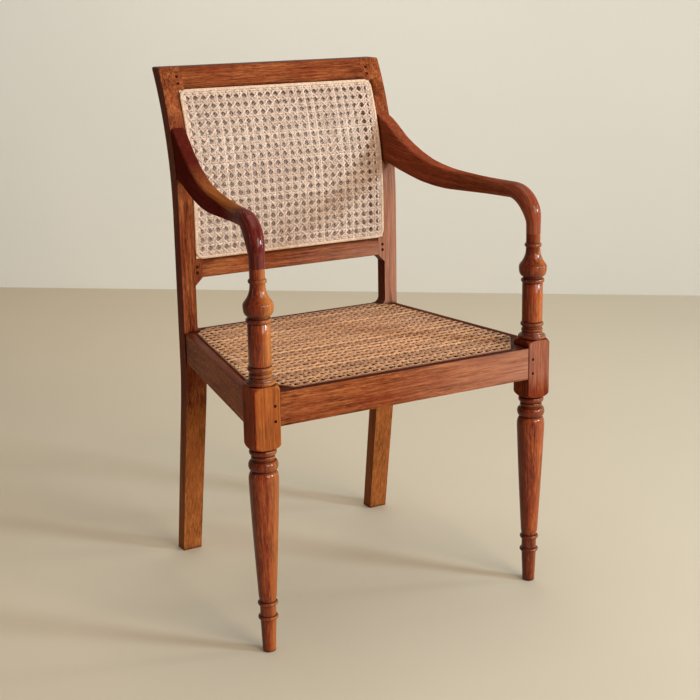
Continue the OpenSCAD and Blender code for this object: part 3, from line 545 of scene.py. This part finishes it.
# The last column is the share of painted shade on a member's side and top faces
for seed, (node, axis, weight, side_shade_share) in enumerate([
        ("rear_post_left", "z", post_weight, 0.65), ("rear_post_right", "z", post_weight, 0.65),
        ("crest_rail", "x", back_rail_weight, 0.3), ("lower_back_rail", "x", back_rail_weight, 0.3),
        ("seat_rail_front", "x", front_rail_weight, 0.4), ("seat_rail_rear", "x", rear_rail_weight, 0.4),
        ("seat_rail_left", "y", side_rail_weight, 0.03), ("seat_rail_right", "y", side_rail_weight, 0.03)]):
    eased_member(node, axis, seed + 1, weight, side_shade_share)


# Turned front legs

FOOT_R, FOOT_EDGE, ANKLE_R, CALF_R, HEAD_R = 10.8, 1.5, 14.2, 24.2, 24.0
ANKLE_RING_R, ANKLE_RING_H, ANKLE_NECK = 16.5, 7, 1.2
ANKLE_LOW, ANKLE_HIGH = 56.5, 81
CALF_Z = ANKLE_HIGH + ANKLE_RING_H
SHOULDER_H, SHOULDER_IN, QUIRK = 17, 4.2, 1.5
HEAD_RING_H, THIN_H, THIN_R, UPPER_H, UPPER_R = 16.5, 6.5, 19.2, 9.5, 22.1
HEAD_Z = BLOCK_Z0 - HEAD_RING_H - THIN_H - UPPER_H - 4 * QUIRK
THIN_Z = HEAD_Z + HEAD_RING_H + 2 * QUIRK
UPPER_Z = THIN_Z + THIN_H + QUIRK
CALF_TOP = HEAD_Z - SHOULDER_H
COLUMN_R, RING_R, VASE_R, NECK_R = 17.8, 20.2, 24.0, 12.2
BASE_H, BASE_R, COVE_H, COLLAR_H, COLLAR_R, COLLAR_GAP = 7, 24, 5, 6.5, 18.6, 3
RING_H, VASE_H, VASE_GAP, NECK_RING_H, NECK_RING_R, NECK_H = 8, 50.5, 2.5, 7, 14.7, 16
COLLAR_Z = BLOCK_Z1 + BASE_H + COVE_H
FOOT_RING_Z = COLLAR_Z + COLLAR_H + COLLAR_GAP
COLUMN_Z = FOOT_RING_Z + RING_H
NECK_RING_Z = NECK_Z - NECK_H - NECK_RING_H
VASE_Z = NECK_RING_Z - VASE_H - QUIRK / 2
CAP_Z = VASE_Z - VASE_GAP - RING_H
GROOVE_R = COLUMN_R - 1.2
BLOCK_EDGE = 2.5


def leg_profile():
    """Radius and height of the turning under the block."""
    points = [(FOOT_R - FOOT_EDGE, 0)]
    points += [(FOOT_R - FOOT_EDGE + FOOT_EDGE * math.sin(a), FOOT_EDGE - FOOT_EDGE * math.cos(a))
               for a in (0.4, 0.8, 1.2, math.pi / 2)]
    points += bead(ANKLE_LOW, ANKLE_LOW + ANKLE_RING_H, ANKLE_R - ANKLE_NECK, ANKLE_RING_R)
    points += bead(ANKLE_HIGH, CALF_Z, ANKLE_R - ANKLE_NECK, ANKLE_RING_R)
    for i in range(1, 25):
        t = i / 24
        r = ANKLE_R + (CALF_R - ANKLE_R) * (0.75 * t + 0.25 * math.sin(math.pi / 2 * t))
        points.append((r, CALF_Z + (CALF_TOP - CALF_Z) * t))
    points += bezier((CALF_R, CALF_TOP + 1), (CALF_R, HEAD_Z - SHOULDER_H / 2),
                     (CALF_R - SHOULDER_IN / 4, HEAD_Z - 2 * QUIRK), (CALF_R - SHOULDER_IN, HEAD_Z), 10)
    points += bead(HEAD_Z + QUIRK, THIN_Z - QUIRK, CALF_R - SHOULDER_IN - 1, HEAD_R, 18)
    points += bead(THIN_Z, UPPER_Z - QUIRK, THIN_R - QUIRK, THIN_R)
    points += bead(UPPER_Z, BLOCK_Z0 - QUIRK, THIN_R, UPPER_R)
    return points + [(THIN_R + 1, BLOCK_Z0 - QUIRK / 2), (THIN_R + 1, BLOCK_Z0)]


def support_profile():
    """Radius and height of the turning over the block."""
    points = bead(BLOCK_Z1, BLOCK_Z1 + BASE_H, BASE_R - 2 * QUIRK, BASE_R)
    points += [(GROOVE_R + COVE_H + (COVE_H - 1) * math.cos(a), COLLAR_Z + (COVE_H - 1) * math.sin(a))
               for a in [math.radians(255 - 15 * i) for i in range(6)]]
    points += bead(COLLAR_Z, COLLAR_Z + COLLAR_H, GROOVE_R, COLLAR_R)
    points += bead(FOOT_RING_Z, COLUMN_Z, GROOVE_R, RING_R)
    points += [(COLUMN_R, COLUMN_Z + QUIRK), (COLUMN_R + 0.1, (COLUMN_Z + CAP_Z) / 2)]
    points.append((COLUMN_R, CAP_Z - QUIRK))
    points += bead(CAP_Z, CAP_Z + RING_H, GROOVE_R, RING_R)
    points += bezier((GROOVE_R, VASE_Z), (VASE_R - QUIRK, VASE_Z + 0.02 * VASE_H),
                     (VASE_R, VASE_Z + 0.16 * VASE_H), (VASE_R, VASE_Z + 0.33 * VASE_H), 14)
    points += bezier((VASE_R, VASE_Z + 0.35 * VASE_H), (VASE_R, VASE_Z + 0.47 * VASE_H),
                     (NECK_R, VASE_Z + 0.56 * VASE_H), (NECK_R, VASE_Z + VASE_H), 18)
    points += bead(NECK_RING_Z, NECK_RING_Z + NECK_RING_H, NECK_R, NECK_RING_R)
    return points + [(NECK_R, NECK_Z)]


def block_outline():
    """Square with rounded corners, as points at every few millimetres."""
    points = []
    side_steps, edge_steps = 14, 6
    inner = HALF_BLOCK - BLOCK_EDGE
    for q in range(4):
        turn = Matrix.Rotation(math.pi / 2 * q, 2)
        for i in range(side_steps):
            points.append(turn @ Vector((HALF_BLOCK, inner * (2 * i / side_steps - 1))))
        for i in range(edge_steps):
            a = math.pi / 2 * i / edge_steps
            points.append(turn @ Vector((inner + BLOCK_EDGE * math.cos(a), inner + BLOCK_EDGE * math.sin(a))))
    return points


def ring_soil(z):
    """Share of old polish left in the rings of the turning at height z."""
    vase_foot = VASE_Z + 6
    spans = [(ANKLE_LOW, CALF_Z, 0.3), (HEAD_Z, BLOCK_Z0, 0.5), (BLOCK_Z1, COLUMN_Z, 0.6),
             (CAP_Z, vase_foot, 0.5), (vase_foot, NECK_Z, 0.25)]
    return max([share for low, high, share in spans if low <= z <= high] + [0.0])


def front_leg(name, side, seed, polish_and_shade, wear_and_light, rubbed_and_lit):
    """Turned leg and arm support. After the seed come: the share of darker colour on its block, and the
    shares of paler wood on its block and on its turnings, which is painted light, only on faces towards the
    front and right."""
    outline = block_outline()
    corner_r = HALF_BLOCK * math.sqrt(2)
    shoulder = corner_r - HALF_BLOCK + QUIRK
    flat_r = corner_r - shoulder
    arc = [math.pi / 2 * i / 8 for i in range(9)]
    # Radius and height of each level, and whether it is on the square block
    levels = [(r, z, False) for r, z in leg_profile()]
    levels += [(flat_r + shoulder * math.sin(a), BLOCK_Z0 + shoulder * (1 - math.cos(a)), True) for a in arc]
    levels += [(flat_r + shoulder * math.cos(a), BLOCK_Z1 - shoulder * (1 - math.sin(a)), True) for a in arc]
    levels += [(r, z, False) for r, z in support_profile()]
    rings = []
    for r, z, square in levels:
        ring = []
        for p in outline:
            q = p if square and p.length < r else p.normalized() * r
            ring.append(place(side * (LEG_X + q.x), q.y, z))
        rings.append(ring)
    verts, faces = skin(rings)
    obj = make_object(name, verts, faces, WOOD_TURNED)
    grain = grain_along("z", seed)
    set_attribute(obj.data, "grain", "FLOAT_VECTOR", [grain(v) for v in verts])
    # Per level: painted sheen on the block, painted shade on the turnings' sides and tops, the coat's gloss,
    # old polish in the rings with a darker block, and painted light on faces towards the front and the right
    for attribute, value_of in (
            ("painted_sheen_strength", lambda z, square: 0.7 * square),
            ("side_shade_share", lambda z, square: 0.6 * (not square)),
            ("shine", lambda z, square: 1.0 * (not square)),
            ("polish_and_shade", lambda z, square: polish_and_shade if square else ring_soil(z)),
            ("worn_and_lit", lambda z, square: wear_and_light if square else rubbed_and_lit * (1.0 if z > BLOCK_Z1 else 0.6))):
        values = [value_of(z, square) for r, z, square in levels for _ in outline]
        set_attribute(obj.data, attribute, "FLOAT", values)
    return obj


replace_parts(front_leg("front_leg_left_wood", -1, 11, 0.2, 0.65, 0.65), "front_leg_left")
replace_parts(front_leg("front_leg_right_wood", 1, 12, 0.45, 0.0, 0.35), "front_leg_right")


# Arms

ARM_LEVEL = NECK_Z + 69
ARM_BEND_R = 54
ARM_W = 25
ARM_BEND_W, ARM_ELBOW = 14, 16.5
ARM_TOP = (14, 14, 15.5, 19.5, 32, 59, 102)
ARM_BOTTOM = (-14, -14.5, -16, -17, -12, 0, 14.5)
ARM_EDGE = (13.6, 11, 7.5, 5, 4.5, 4, 4)
# Least half flat between two corners of the arm's section
ARM_FLAT = 0.4
ARM_REAR_X = POST_X - 1 - ARM_W / 2
# Share of an arm's painted shade that its front bend has
BEND_SHADE = 0.55


def section(a, b, r):
    """Points round an arm's section, up its right side and down its left side. a and b are half its width and
    depth, and r is the radius of its corners."""
    right = []
    n = 8
    for i in range(n + 1):
        t = math.pi / 2 * (i / n - 1)
        right.append((a - r + r * math.cos(t), r - b + r * math.sin(t)))
    right += [(a, (b - r) * (2 * i / (n + 1) - 1)) for i in range(1, n + 1)]
    for i in range(n + 1):
        t = math.pi / 2 * i / n
        right.append((a - r + r * math.cos(t), b - r + r * math.sin(t)))
    return right + [(-x, y) for x, y in reversed(right)]


def arm_x(y):
    """Middle of an arm at depth y."""
    return LEG_X + (ARM_REAR_X - LEG_X) * y / SEAT_RUN


def arm(name, side, seed, wear_and_light, painted_shade, pale):
    """Swept arm. After the seed come: the share of paler wood on the middle of its top, partly rubbed wear
    and partly painted light where the lamps reach it; the share of painted shade, which deepens towards the
    post; and the least share of paler wood anywhere."""
    rings, grain, worn_and_lit, shine, polish_and_shade = [], [], [], [], []
    shift = grain_shift(seed)
    z0 = ARM_LEVEL - ARM_BEND_R
    bend_steps, run_steps = 20, 48
    for k in range(-1, bend_steps + 1):
        t = max(k, 0) / bend_steps
        a = math.pi / 2 * t
        if k < 0:
            y, z, w, d = 0, NECK_Z, NECK_R, NECK_R
        else:
            y, z = ARM_BEND_R * (1 - math.cos(a)), z0 + ARM_BEND_R * math.sin(a)
            w = along((NECK_R, ARM_BEND_W, ARM_BEND_W, ARM_TOP[0]), t)
            d = along((NECK_R, ARM_ELBOW, ARM_ELBOW, ARM_TOP[0]), t)
        run = ARM_BEND_R * a
        points = section(w, d, w - ARM_FLAT)
        rings.append([place(side * (arm_x(y) + p[0]), y - p[1] * math.cos(a), z + p[1] * math.sin(a))
                      for p in points])
        grain += [(p[0] * MM + shift.x, p[1] * MM + shift.y, run * MM + shift.z) for p in points]
        worn_and_lit += [pale] * len(points)
        shine += [1.0 - 0.6 * t] * len(points)
        polish_and_shade += [BEND_SHADE * painted_shade] * len(points)
    for k in range(1, run_steps + 1):
        t = k / run_steps
        top, bottom = ARM_LEVEL + along(ARM_TOP, t), ARM_LEVEL + along(ARM_BOTTOM, t)
        y0 = ARM_BEND_R + (SEAT_RUN - ARM_BEND_R) * t
        a = ARM_TOP[0] + (ARM_W / 2 - ARM_TOP[0]) * clamp(4 * t)
        b = (top - bottom) / 2
        r = min(along(ARM_EDGE, t), a - ARM_FLAT, b - ARM_FLAT)
        points = section(a, b, r)
        ring = []
        for p in points:
            z = (top + bottom) / 2 + p[1]
            y = ARM_BEND_R + t * (face_y(z) - 0.1 - ARM_BEND_R)
            ring.append(place(side * (arm_x(y0) + p[0]), y, z))
            grain.append((p[0] * MM + shift.x, (z - ARM_LEVEL - 0.72 * (b - 12)) * MM + shift.y,
                          (ARM_BEND_R * math.pi / 2 + y - ARM_BEND_R) * MM + shift.z))
        # Paler top face: partly rubbed wear, partly painted light where the lamps reach it
        rubbed_and_lit = wear_and_light * clamp(t / 0.1) * clamp((0.8 - t) / 0.3)
        worn_and_lit += [max(rubbed_and_lit * float(p[1] > b - 0.75 * r), pale) for p in points]
        shine += [max(0.4 - 2 * t, 0.0)] * len(points)
        # Painted shade, which deepens towards the post
        polish_and_shade += [painted_shade * (BEND_SHADE + (1 - BEND_SHADE) * clamp((t - 0.35) / 0.5))] * len(points)
        rings.append(ring)
    verts, faces = skin(rings)
    faces.pop()
    n = len(rings[0])
    end = len(verts) - n
    faces += [(end + i, end + i + 1, end + n - 2 - i, end + n - 1 - i) for i in range(n // 2 - 1)]
    obj = make_object(name, verts, faces, WOOD_ARM)
    set_attribute(obj.data, "grain", "FLOAT_VECTOR", grain)
    set_attribute(obj.data, "worn_and_lit", "FLOAT", worn_and_lit)
    set_attribute(obj.data, "shine", "FLOAT", shine)
    set_attribute(obj.data, "polish_and_shade", "FLOAT", polish_and_shade)
    return obj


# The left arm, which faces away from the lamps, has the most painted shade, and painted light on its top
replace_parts(arm("arm_left_wood", -1, 21, 0.45, 0.85, 0.0), "arm_left")
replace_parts(arm("arm_right_wood", 1, 22, 0.2, 0.1, 0.2), "arm_right")


# Woven cane

# Sizes of a weave: a strand's width and thickness, half the spacing of a pair, the diagonals' rise, how high
# the crosswise strands ride, and how much deeper they hang in the opening
Weave = namedtuple("Weave", "width thick pair rise ride hang")
BACK_WEAVE = Weave(2.9, 0.9, 1.85, 0.75, 0.0, 0.0)
SEAT_WEAVE = Weave(2.7, 1.3, 1.7, 0.8, 1.1, 3.2)
# Height of the middle of a sheet over the wood
SHEET_H = 0.9


def with_normals(corners):
    """Each corner of an outline that turns left, with the inward normals of the two sides that meet in it."""
    for i, corner in enumerate(corners):
        a, p, b = Vector(corners[i - 1]), Vector(corner), Vector(corners[(i + 1) % len(corners)])
        u, v = (p - a).normalized(), (b - p).normalized()
        yield p, Vector((-u.y, u.x)), Vector((-v.y, v.x))


def rounded(corners, r, n=6):
    """Outline with each of its corners rounded to radius r in n steps."""
    points = []
    for p, nu, nv in with_normals(corners):
        centre = p + (nu + nv) * r / (1 + nu.dot(nv))
        start = math.atan2(-nu.y, -nu.x)
        turn = math.acos(max(-1, min(1, nu.dot(nv))))
        points += [centre + r * Vector((math.cos(start + turn * k / n), math.sin(start + turn * k / n)))
                   for k in range(n + 1)]
    return points


def inset(corners, d):
    """Outline moved inwards by d."""
    return [p + (nu + nv) * d / (1 + nu.dot(nv)) for p, nu, nv in with_normals(corners)]


def clip(origin, direction, outline):
    """Stretch of a line inside a convex outline, as two distances along it, or None."""
    lo, hi = -1e9, 1e9
    for i, p in enumerate(outline):
        q = outline[(i + 1) % len(outline)]
        edge = q - p
        normal = Vector((-edge.y, edge.x))
        d = normal.dot(direction)
        e = normal.dot(p - origin)
        if abs(d) < 1e-9:
            if e > 0:
                return None
        elif d > 0:
            lo = max(lo, e / d)
        else:
            hi = min(hi, e / d)
    return (lo, hi) if hi - lo > 3 else None


def strands(outline, centre, weave):
    """Strands of the six-way weave in an outline: origin, direction, stretch, and height over a place."""
    reach = int(max((p - centre).length for p in outline) / PITCH) + 2
    wave = 2 * math.pi / PITCH
    swing = (0.6 - 0.25 * weave.ride) * weave.thick
    found = []

    def add(origin, direction, height):
        span = clip(origin, direction, outline)
        if span:
            found.append((origin, direction, span, height))

    for k in range(-reach, reach + 1):
        for s in (-1, 1):
            add(centre + Vector((k * PITCH + s * weave.pair, 0)), Vector((0, 1)),
                lambda p, s=s: s * 0.25 * weave.thick)
            add(centre + Vector((0, k * PITCH + s * weave.pair)), Vector((1, 0)),
                lambda p: weave.ride - swing * math.sin(wave * p.x))
    for k in range(-2 * reach, 2 * reach + 1):
        for s in (-1, 1):
            direction = Vector((1, s)).normalized()
            add(centre + Vector(((k + 0.5) * PITCH, 0)), direction,
                lambda p, s=s: s * weave.rise * math.cos(wave * p.x))
    return found


def cane_sheet(name, node, outline, centre, point_at, material, weave, opening=()):
    """Woven sheet. point_at turns a place in the sheet's plane and a height over it into a point, and opening
    is the outline inside which the crosswise strands hang free of the wood."""
    verts, faces, coords, tones, shaded_undersides = [], [], [], [], []
    half = weave.width / 2
    profile = [(-half, 0), (-half * 0.55, weave.thick * 0.45), (half * 0.55, weave.thick * 0.45), (half, 0),
               (half * 0.7, -weave.thick / 2), (-half * 0.7, -weave.thick / 2)]
    step = PITCH / 6
    for origin, direction, (lo, hi), height in strands(outline, centre, weave):
        across = Vector((direction.y, -direction.x))
        tone = rng.uniform(0.2, 0.8)
        seed = rng.uniform(0, 10)
        n = max(2, round((hi - lo) / step))
        inner = clip(origin, direction, opening) if opening and abs(direction.y) < 0.01 else None
        rings = []
        for k in range(n + 1):
            t = lo + (hi - lo) * k / n
            p = origin + direction * t
            h = height(p - centre)
            hang = weave.hang if inner and inner[0] < t < inner[1] else 0.0
            rings.append([point_at(p + across * u, h + v - hang * (v < 0)) for u, v in profile])
            coords += [(u * MM + seed, v * MM, t * MM) for u, v in profile]
            # Where painted shade goes: under the strands that hang in the openings
            shaded_undersides += [float(hang > 0 and v < 0) for u, v in profile]
            tones += [tone] * len(profile)
        ring_verts, ring_faces = skin(rings)
        base = len(verts)
        verts += ring_verts
        faces += [tuple(base + i for i in f) for f in ring_faces]
    obj = make_object(name, verts, faces, material, 80)
    set_attribute(obj.data, "strand", "FLOAT_VECTOR", coords)
    set_attribute(obj.data, "tone", "FLOAT", tones)
    set_attribute(obj.data, "inner", "FLOAT", shaded_undersides)
    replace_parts(obj, node)


def reed_ring(name, node, corners, radius, width, point_at, up, down, material):
    """Reed round a sheet. corners and radius are those of its outer outline, and up and down are how far it
    reaches over and under the middle of the sheet."""
    path = []
    spacing, sides = 6, 10
    middle = rounded(inset(corners, width / 2), radius - width / 2, 8)
    for i, p in enumerate(middle):
        q = middle[(i + 1) % len(middle)]
        n = max(1, round((q - p).length / spacing))
        path += [p + (q - p) * k / n for k in range(n)]
    rings, coords = [], []
    run = 0
    for i, p in enumerate(path):
        a, b = path[i - 1], path[(i + 1) % len(path)]
        tangent = (b - a).normalized()
        across = Vector((tangent.y, -tangent.x))
        ring = []
        for k in range(sides):
            t = 2 * math.pi * k / sides
            u = width / 2 * math.cos(t)
            v = up * math.sin(t) if math.sin(t) > 0 else down * math.sin(t)
            ring.append(point_at(p + across * u, v))
            coords.append((u * MM, v * MM, run * MM))
        rings.append(ring)
        run += (b - p).length
    verts, faces = skin(rings, closed=True)
    obj = make_object(name, verts, faces, material, 80)
    set_attribute(obj.data, "strand", "FLOAT_VECTOR", coords)
    set_attribute(obj.data, "tone", "FLOAT", [0.5] * len(verts))
    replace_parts(obj, node)


BACK_REED_W, BACK_REED_R = 6, 15
BACK_REED_UP, REED_DOWN = 1.5, 3
# How far the rear sheet's openings are from being in line with the front sheet's
REAR_SHIFT = Vector((6.5, 3.4))
back_corners = [(-BACK_REED_X, length_up(REED_Z0)), (BACK_REED_X, length_up(REED_Z0)),
                (BACK_REED_X, length_up(REED_Z1)), (-BACK_REED_X, length_up(REED_Z1))]
back_centre = Vector((0, (length_up(REED_Z0) + length_up(REED_Z1)) / 2))
back_sheet = rounded(inset(back_corners, BACK_REED_W * 0.6), BACK_REED_R - BACK_REED_W)


def front_face(p, h):
    """Point at height h over the middle of the back's front sheet."""
    return back_point(p.x, p.y, -SHEET_H - h)


def rear_face(p, h):
    """Point at height h over the middle of the back's rear sheet."""
    return back_point(p.x, p.y, POST_T + SHEET_H + h)


cane_sheet("back_cane_front_woven", "back_cane_front", back_sheet, back_centre, front_face,
           CANE_BACK_LIT, BACK_WEAVE)
cane_sheet("back_cane_rear_woven", "back_cane_rear", back_sheet, back_centre + REAR_SHIFT, rear_face,
           CANE_REAR_LIT, BACK_WEAVE)
for face, point_at in (("front", front_face), ("rear", rear_face)):
    reed_ring(f"back_reed_{face}_round", f"back_reed_{face}", back_corners, BACK_REED_R, BACK_REED_W,
              point_at, BACK_REED_UP, REED_DOWN, REED)

SEAT_REED_W, SEAT_REED_R, SEAT_REED_UP, SEAT_REED_IN = 4, 8, 0.9, 17.5
# How far inside the reed's outer edge the seat's strands are free of the wood
SEAT_OPENING_IN = 26
SEAT_Y0, SEAT_Y1 = -9.5, 403
# Where the cuts of the sheet's corners meet the front or the rear edge, as x, and the side edge, as a depth
FRONT_CUT = (209, 58.5)
REAR_CUT = (178, 379)


def seat_edge(y):
    """Outer edge of the seat's reed at depth y."""
    return side_rail_x(y) - SEAT_REED_IN


seat_right = [(FRONT_CUT[0], SEAT_Y0), (seat_edge(FRONT_CUT[1]), FRONT_CUT[1]),
              (seat_edge(REAR_CUT[1]), REAR_CUT[1]), (REAR_CUT[0], SEAT_Y1)]
seat_corners = seat_right + [(-x, y) for x, y in reversed(seat_right)]
seat_centre = Vector((0, (SEAT_Y0 + SEAT_Y1) / 2))


def seat_top(p, h):
    """Point at height h over the middle of the seat's sheet."""
    return place(p.x, p.y, SEAT_H + SHEET_H + h)


seat_sheet = rounded(inset(seat_corners, SEAT_REED_W * 0.5), SEAT_REED_R - SEAT_REED_W * 0.5)
cane_sheet("seat_cane_woven", "seat_cane", seat_sheet, seat_centre, seat_top, CANE_SEAT_SHADED, SEAT_WEAVE,
           inset(seat_corners, SEAT_OPENING_IN))
reed_ring("seat_reed_round", "seat_reed", seat_corners, SEAT_REED_R, SEAT_REED_W, seat_top, SEAT_REED_UP,
          REED_DOWN, REED_SEAT_SHADED)


# CAD nodes that keep their shape

for node, material in (("corner_block_front_left", DARK_AND_SHADED_WOOD), ("corner_block_front_right", DARK_AND_SHADED_WOOD),
                       ("corner_block_rear_left", DARK_AND_SHADED_WOOD), ("corner_block_rear_right", DARK_AND_SHADED_WOOD),
                       ("corner_screws", STEEL)):
    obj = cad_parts[node]
    if not obj.material_slots:
        obj.data.materials.append(material)
    for slot in obj.material_slots:
        slot.material = material


# Pegs, with slightly domed ends

PEG_R = 2.7
PEG_LEN = 19
# How far into the post or the leg a peg is, from the shoulder of the rail
PEG_IN = 9.5
# Half the distance between the two pegs of a joint
CREST_PEG_HALF, LOWER_PEG_HALF, FRONT_PEG_HALF = 6.5, 5.25, 12.5


def pegs(name, node, places):
    """Pegs at places, which each give the middle of a peg's front end and its lean back, in degrees."""
    n = 20
    profile = [(PEG_R, PEG_LEN), (PEG_R, 0.1)]
    profile += [(PEG_R * share, -rise) for share, rise in ((0.86, 0.14), (0.6, 0.26), (0.3, 0.33))]
    verts, faces = [], []
    for x, y, z, lean in places:
        a = math.radians(lean)
        rings = []
        for r, depth in profile:
            ring = []
            for k in range(n):
                t = 2 * math.pi * k / n
                u, v = r * math.cos(t), r * math.sin(t)
                ring.append(place(x + u, y + depth * math.cos(a) + v * math.sin(a),
                                  z - depth * math.sin(a) + v * math.cos(a)))
            rings.append(ring)
        peg_verts, peg_faces = skin(rings)
        base = len(verts)
        verts += peg_verts
        faces += [tuple(base + i for i in f) for f in peg_faces]
    obj = make_object(name, verts, faces, DARK_AND_SHADED_WOOD)
    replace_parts(obj, node)


def crest_place(side, turn):
    """Place on the crest rail's front face, a turn about the middle of the rail."""
    a = math.asin((CHAIR_H - BACK_BEND_Z) / BACK_BEND_R) - CREST_H / 2 / BACK_BEND_R + turn
    return (side * (RAIL_X + PEG_IN), SEAT_RUN + BACK_BEND_R * (1 - math.cos(a)),
            BACK_BEND_Z + BACK_BEND_R * math.sin(a), math.degrees(a))


LOWER_PEGS_Z = LOWER_RAIL_Z + 14.25
FRONT_PEGS_Z = (RAIL_Z + SEAT_H) / 2 - 5.5
# Side of the chair, and end of the joint's pair, of each of a rail's four pegs
FOUR_PEGS = [(s, t) for s in (-1, 1) for t in (-1, 1)]
pegs("crest_pegs_round", "crest_pegs",
     [crest_place(s, t * CREST_PEG_HALF / BACK_BEND_R) for s, t in FOUR_PEGS])
pegs("lower_rail_pegs_round", "lower_rail_pegs",
     [(s * (RAIL_X + PEG_IN), SEAT_RUN, LOWER_PEGS_Z + t * LOWER_PEG_HALF, 0) for s, t in FOUR_PEGS])
pegs("front_rail_pegs_round", "front_rail_pegs",
     [(s * (LEG_X - HALF_BLOCK + PEG_IN), -HALF_BLOCK, FRONT_PEGS_Z + t * FRONT_PEG_HALF, 0)
      for s, t in FOUR_PEGS])


# Camera, at the photograph's place

def add_camera():
    """Camera of the photograph: its place and angles were worked out from the chair's edges."""
    focal_px, image_px, sensor = 1408.8, 700, 36
    centre_px = (385, 315)
    eye = place(-1148.1, -1905.6, 1078.9)
    yaw, pitch, roll = math.radians(-30.3), math.radians(13.95), math.radians(-0.64)
    forward = Vector((-math.sin(yaw) * math.cos(pitch), math.cos(yaw) * math.cos(pitch), -math.sin(pitch)))
    right = Vector((math.cos(yaw), math.sin(yaw), 0))
    up = right.cross(forward)
    c, s = math.cos(roll), math.sin(roll)
    right, up = c * right + s * up, -s * right + c * up
    data = bpy.data.cameras.new("camera")
    data.sensor_width = sensor
    data.lens = focal_px / image_px * sensor
    data.shift_x = (image_px / 2 - centre_px[0]) / image_px
    data.shift_y = (centre_px[1] - image_px / 2) / image_px
    camera = new_object("camera", data)
    camera.matrix_world = Matrix.Translation(eye) @ Matrix((right, up, -forward)).transposed().to_4x4()
    bpy.context.scene.camera = camera
    return camera, forward, right


camera, view_forward, view_right = add_camera()


# Floor and wall

def stage_material(name, left, right, rough):
    """Plain paint or stone, with a painted gradient of light: its colour drifts from the left of the view to
    the right.
    """
    g = Graph(name)
    coords = g.add("TexCoord").outputs["Object"]
    across = g.vector("DOT_PRODUCT", coords, tuple(view_right)).node.outputs["Value"]
    colour = g.mix(g.range(across, -1.4, 1.4), left, right)
    soft = g.noise(coords, 1.3, 3.0)
    colour = g.mix(g.range(soft, 0.3, 0.7, 0.0, 1.0), colour, (0.97, 0.97, 0.97), "MULTIPLY")
    return g.finish(Base_Color=colour, Roughness=rough, Specular_IOR_Level=0.05)


def add_stage():
    """Floor, and a wall at a distance from the camera that is turned a little to the view."""
    distance, turned, reach, height, depth = 4.67, math.radians(-5.7), 7, 5, 11
    flat = Vector((view_forward.x, view_forward.y, 0)).normalized()
    across = Vector((view_right.x, view_right.y, 0)).normalized()
    side = Matrix.Rotation(turned, 3, "Z") @ across * reach
    up = Vector((0, 0, height))
    origin = camera.matrix_world.translation
    wall_at = Vector((origin.x, origin.y, 0)) + flat * distance
    near = wall_at - flat * depth
    floor = [near - side, near + side, wall_at + side, wall_at - side]
    wall = [wall_at - side, wall_at + side, wall_at + side + up, wall_at - side + up]
    # Painted light: the wall is brighter at the left of the view, and the floor's tone drifts across it
    for name, corners, colours, rough in (
            ("floor", floor, (srgb(213, 198, 174), srgb(209, 200, 181)), 0.7),
            ("wall", wall, (srgb(250, 248, 240), srgb(212, 207, 197)), 0.8)):
        mesh = bpy.data.meshes.new(name)
        mesh.from_pydata([tuple(v) for v in corners], [], [(0, 1, 2, 3)])
        mesh.materials.append(stage_material(name, *colours, rough))
        obj = new_object(name, mesh)


add_stage()


# Lights

def add_area(name, location, target, size, power, colour, height=None):
    """Lamp of a size, or of a size and a height, which faces its target."""
    data = bpy.data.lights.new(name, "AREA")
    data.shape = "RECTANGLE"
    data.size = size
    data.size_y = height or size
    data.energy = power
    data.color = colour
    light = new_object(name, data)
    location = Vector(location)
    light.rotation_euler = (Vector(target) - location).to_track_quat("-Z", "Y").to_euler()
    light.location = location


middle = Vector((0, 0, 0.5))
add_area("key", middle + Vector((0.85, -1, 0.37)) * 2.6, middle, 0.6, 80, (0.72, 0.9, 1.0))
add_area("strip", middle + Vector((1.4, -0.6, 0.3)) * 2.2, middle, 0.3, 16, (1.0, 0.94, 0.94), 1.6)
add_area("window", middle + Vector((-1.25, 0.05, 0.3)) * 2.4, middle, 0.2, 3.5, (1.0, 0.94, 0.96), 1.6)
add_area("front", (0.9, -4.0, 2.1), (0, 0.1, 0.4), 2.0, 106, (1.0, 0.85, 0.69))
add_area("overhead", (0.2, 0.2, 3.4), (0, 0.2, 0), 2.6, 36, (1.0, 0.95, 0.89))
add_area("backdrop", (0.5, 1.3, 2.0), (1.0, 2.05, 0.7), 1.6, 4, (0.95, 0.99, 1.0))

world = bpy.data.worlds.new("studio")
world.use_nodes = True
background = world.node_tree.nodes["Background"]
background.inputs["Color"].default_value = (1.0, 0.93, 0.84, 1)
background.inputs["Strength"].default_value = 0.14
bpy.context.scene.world = world
bpy.context.scene.view_settings.view_transform = "Standard"
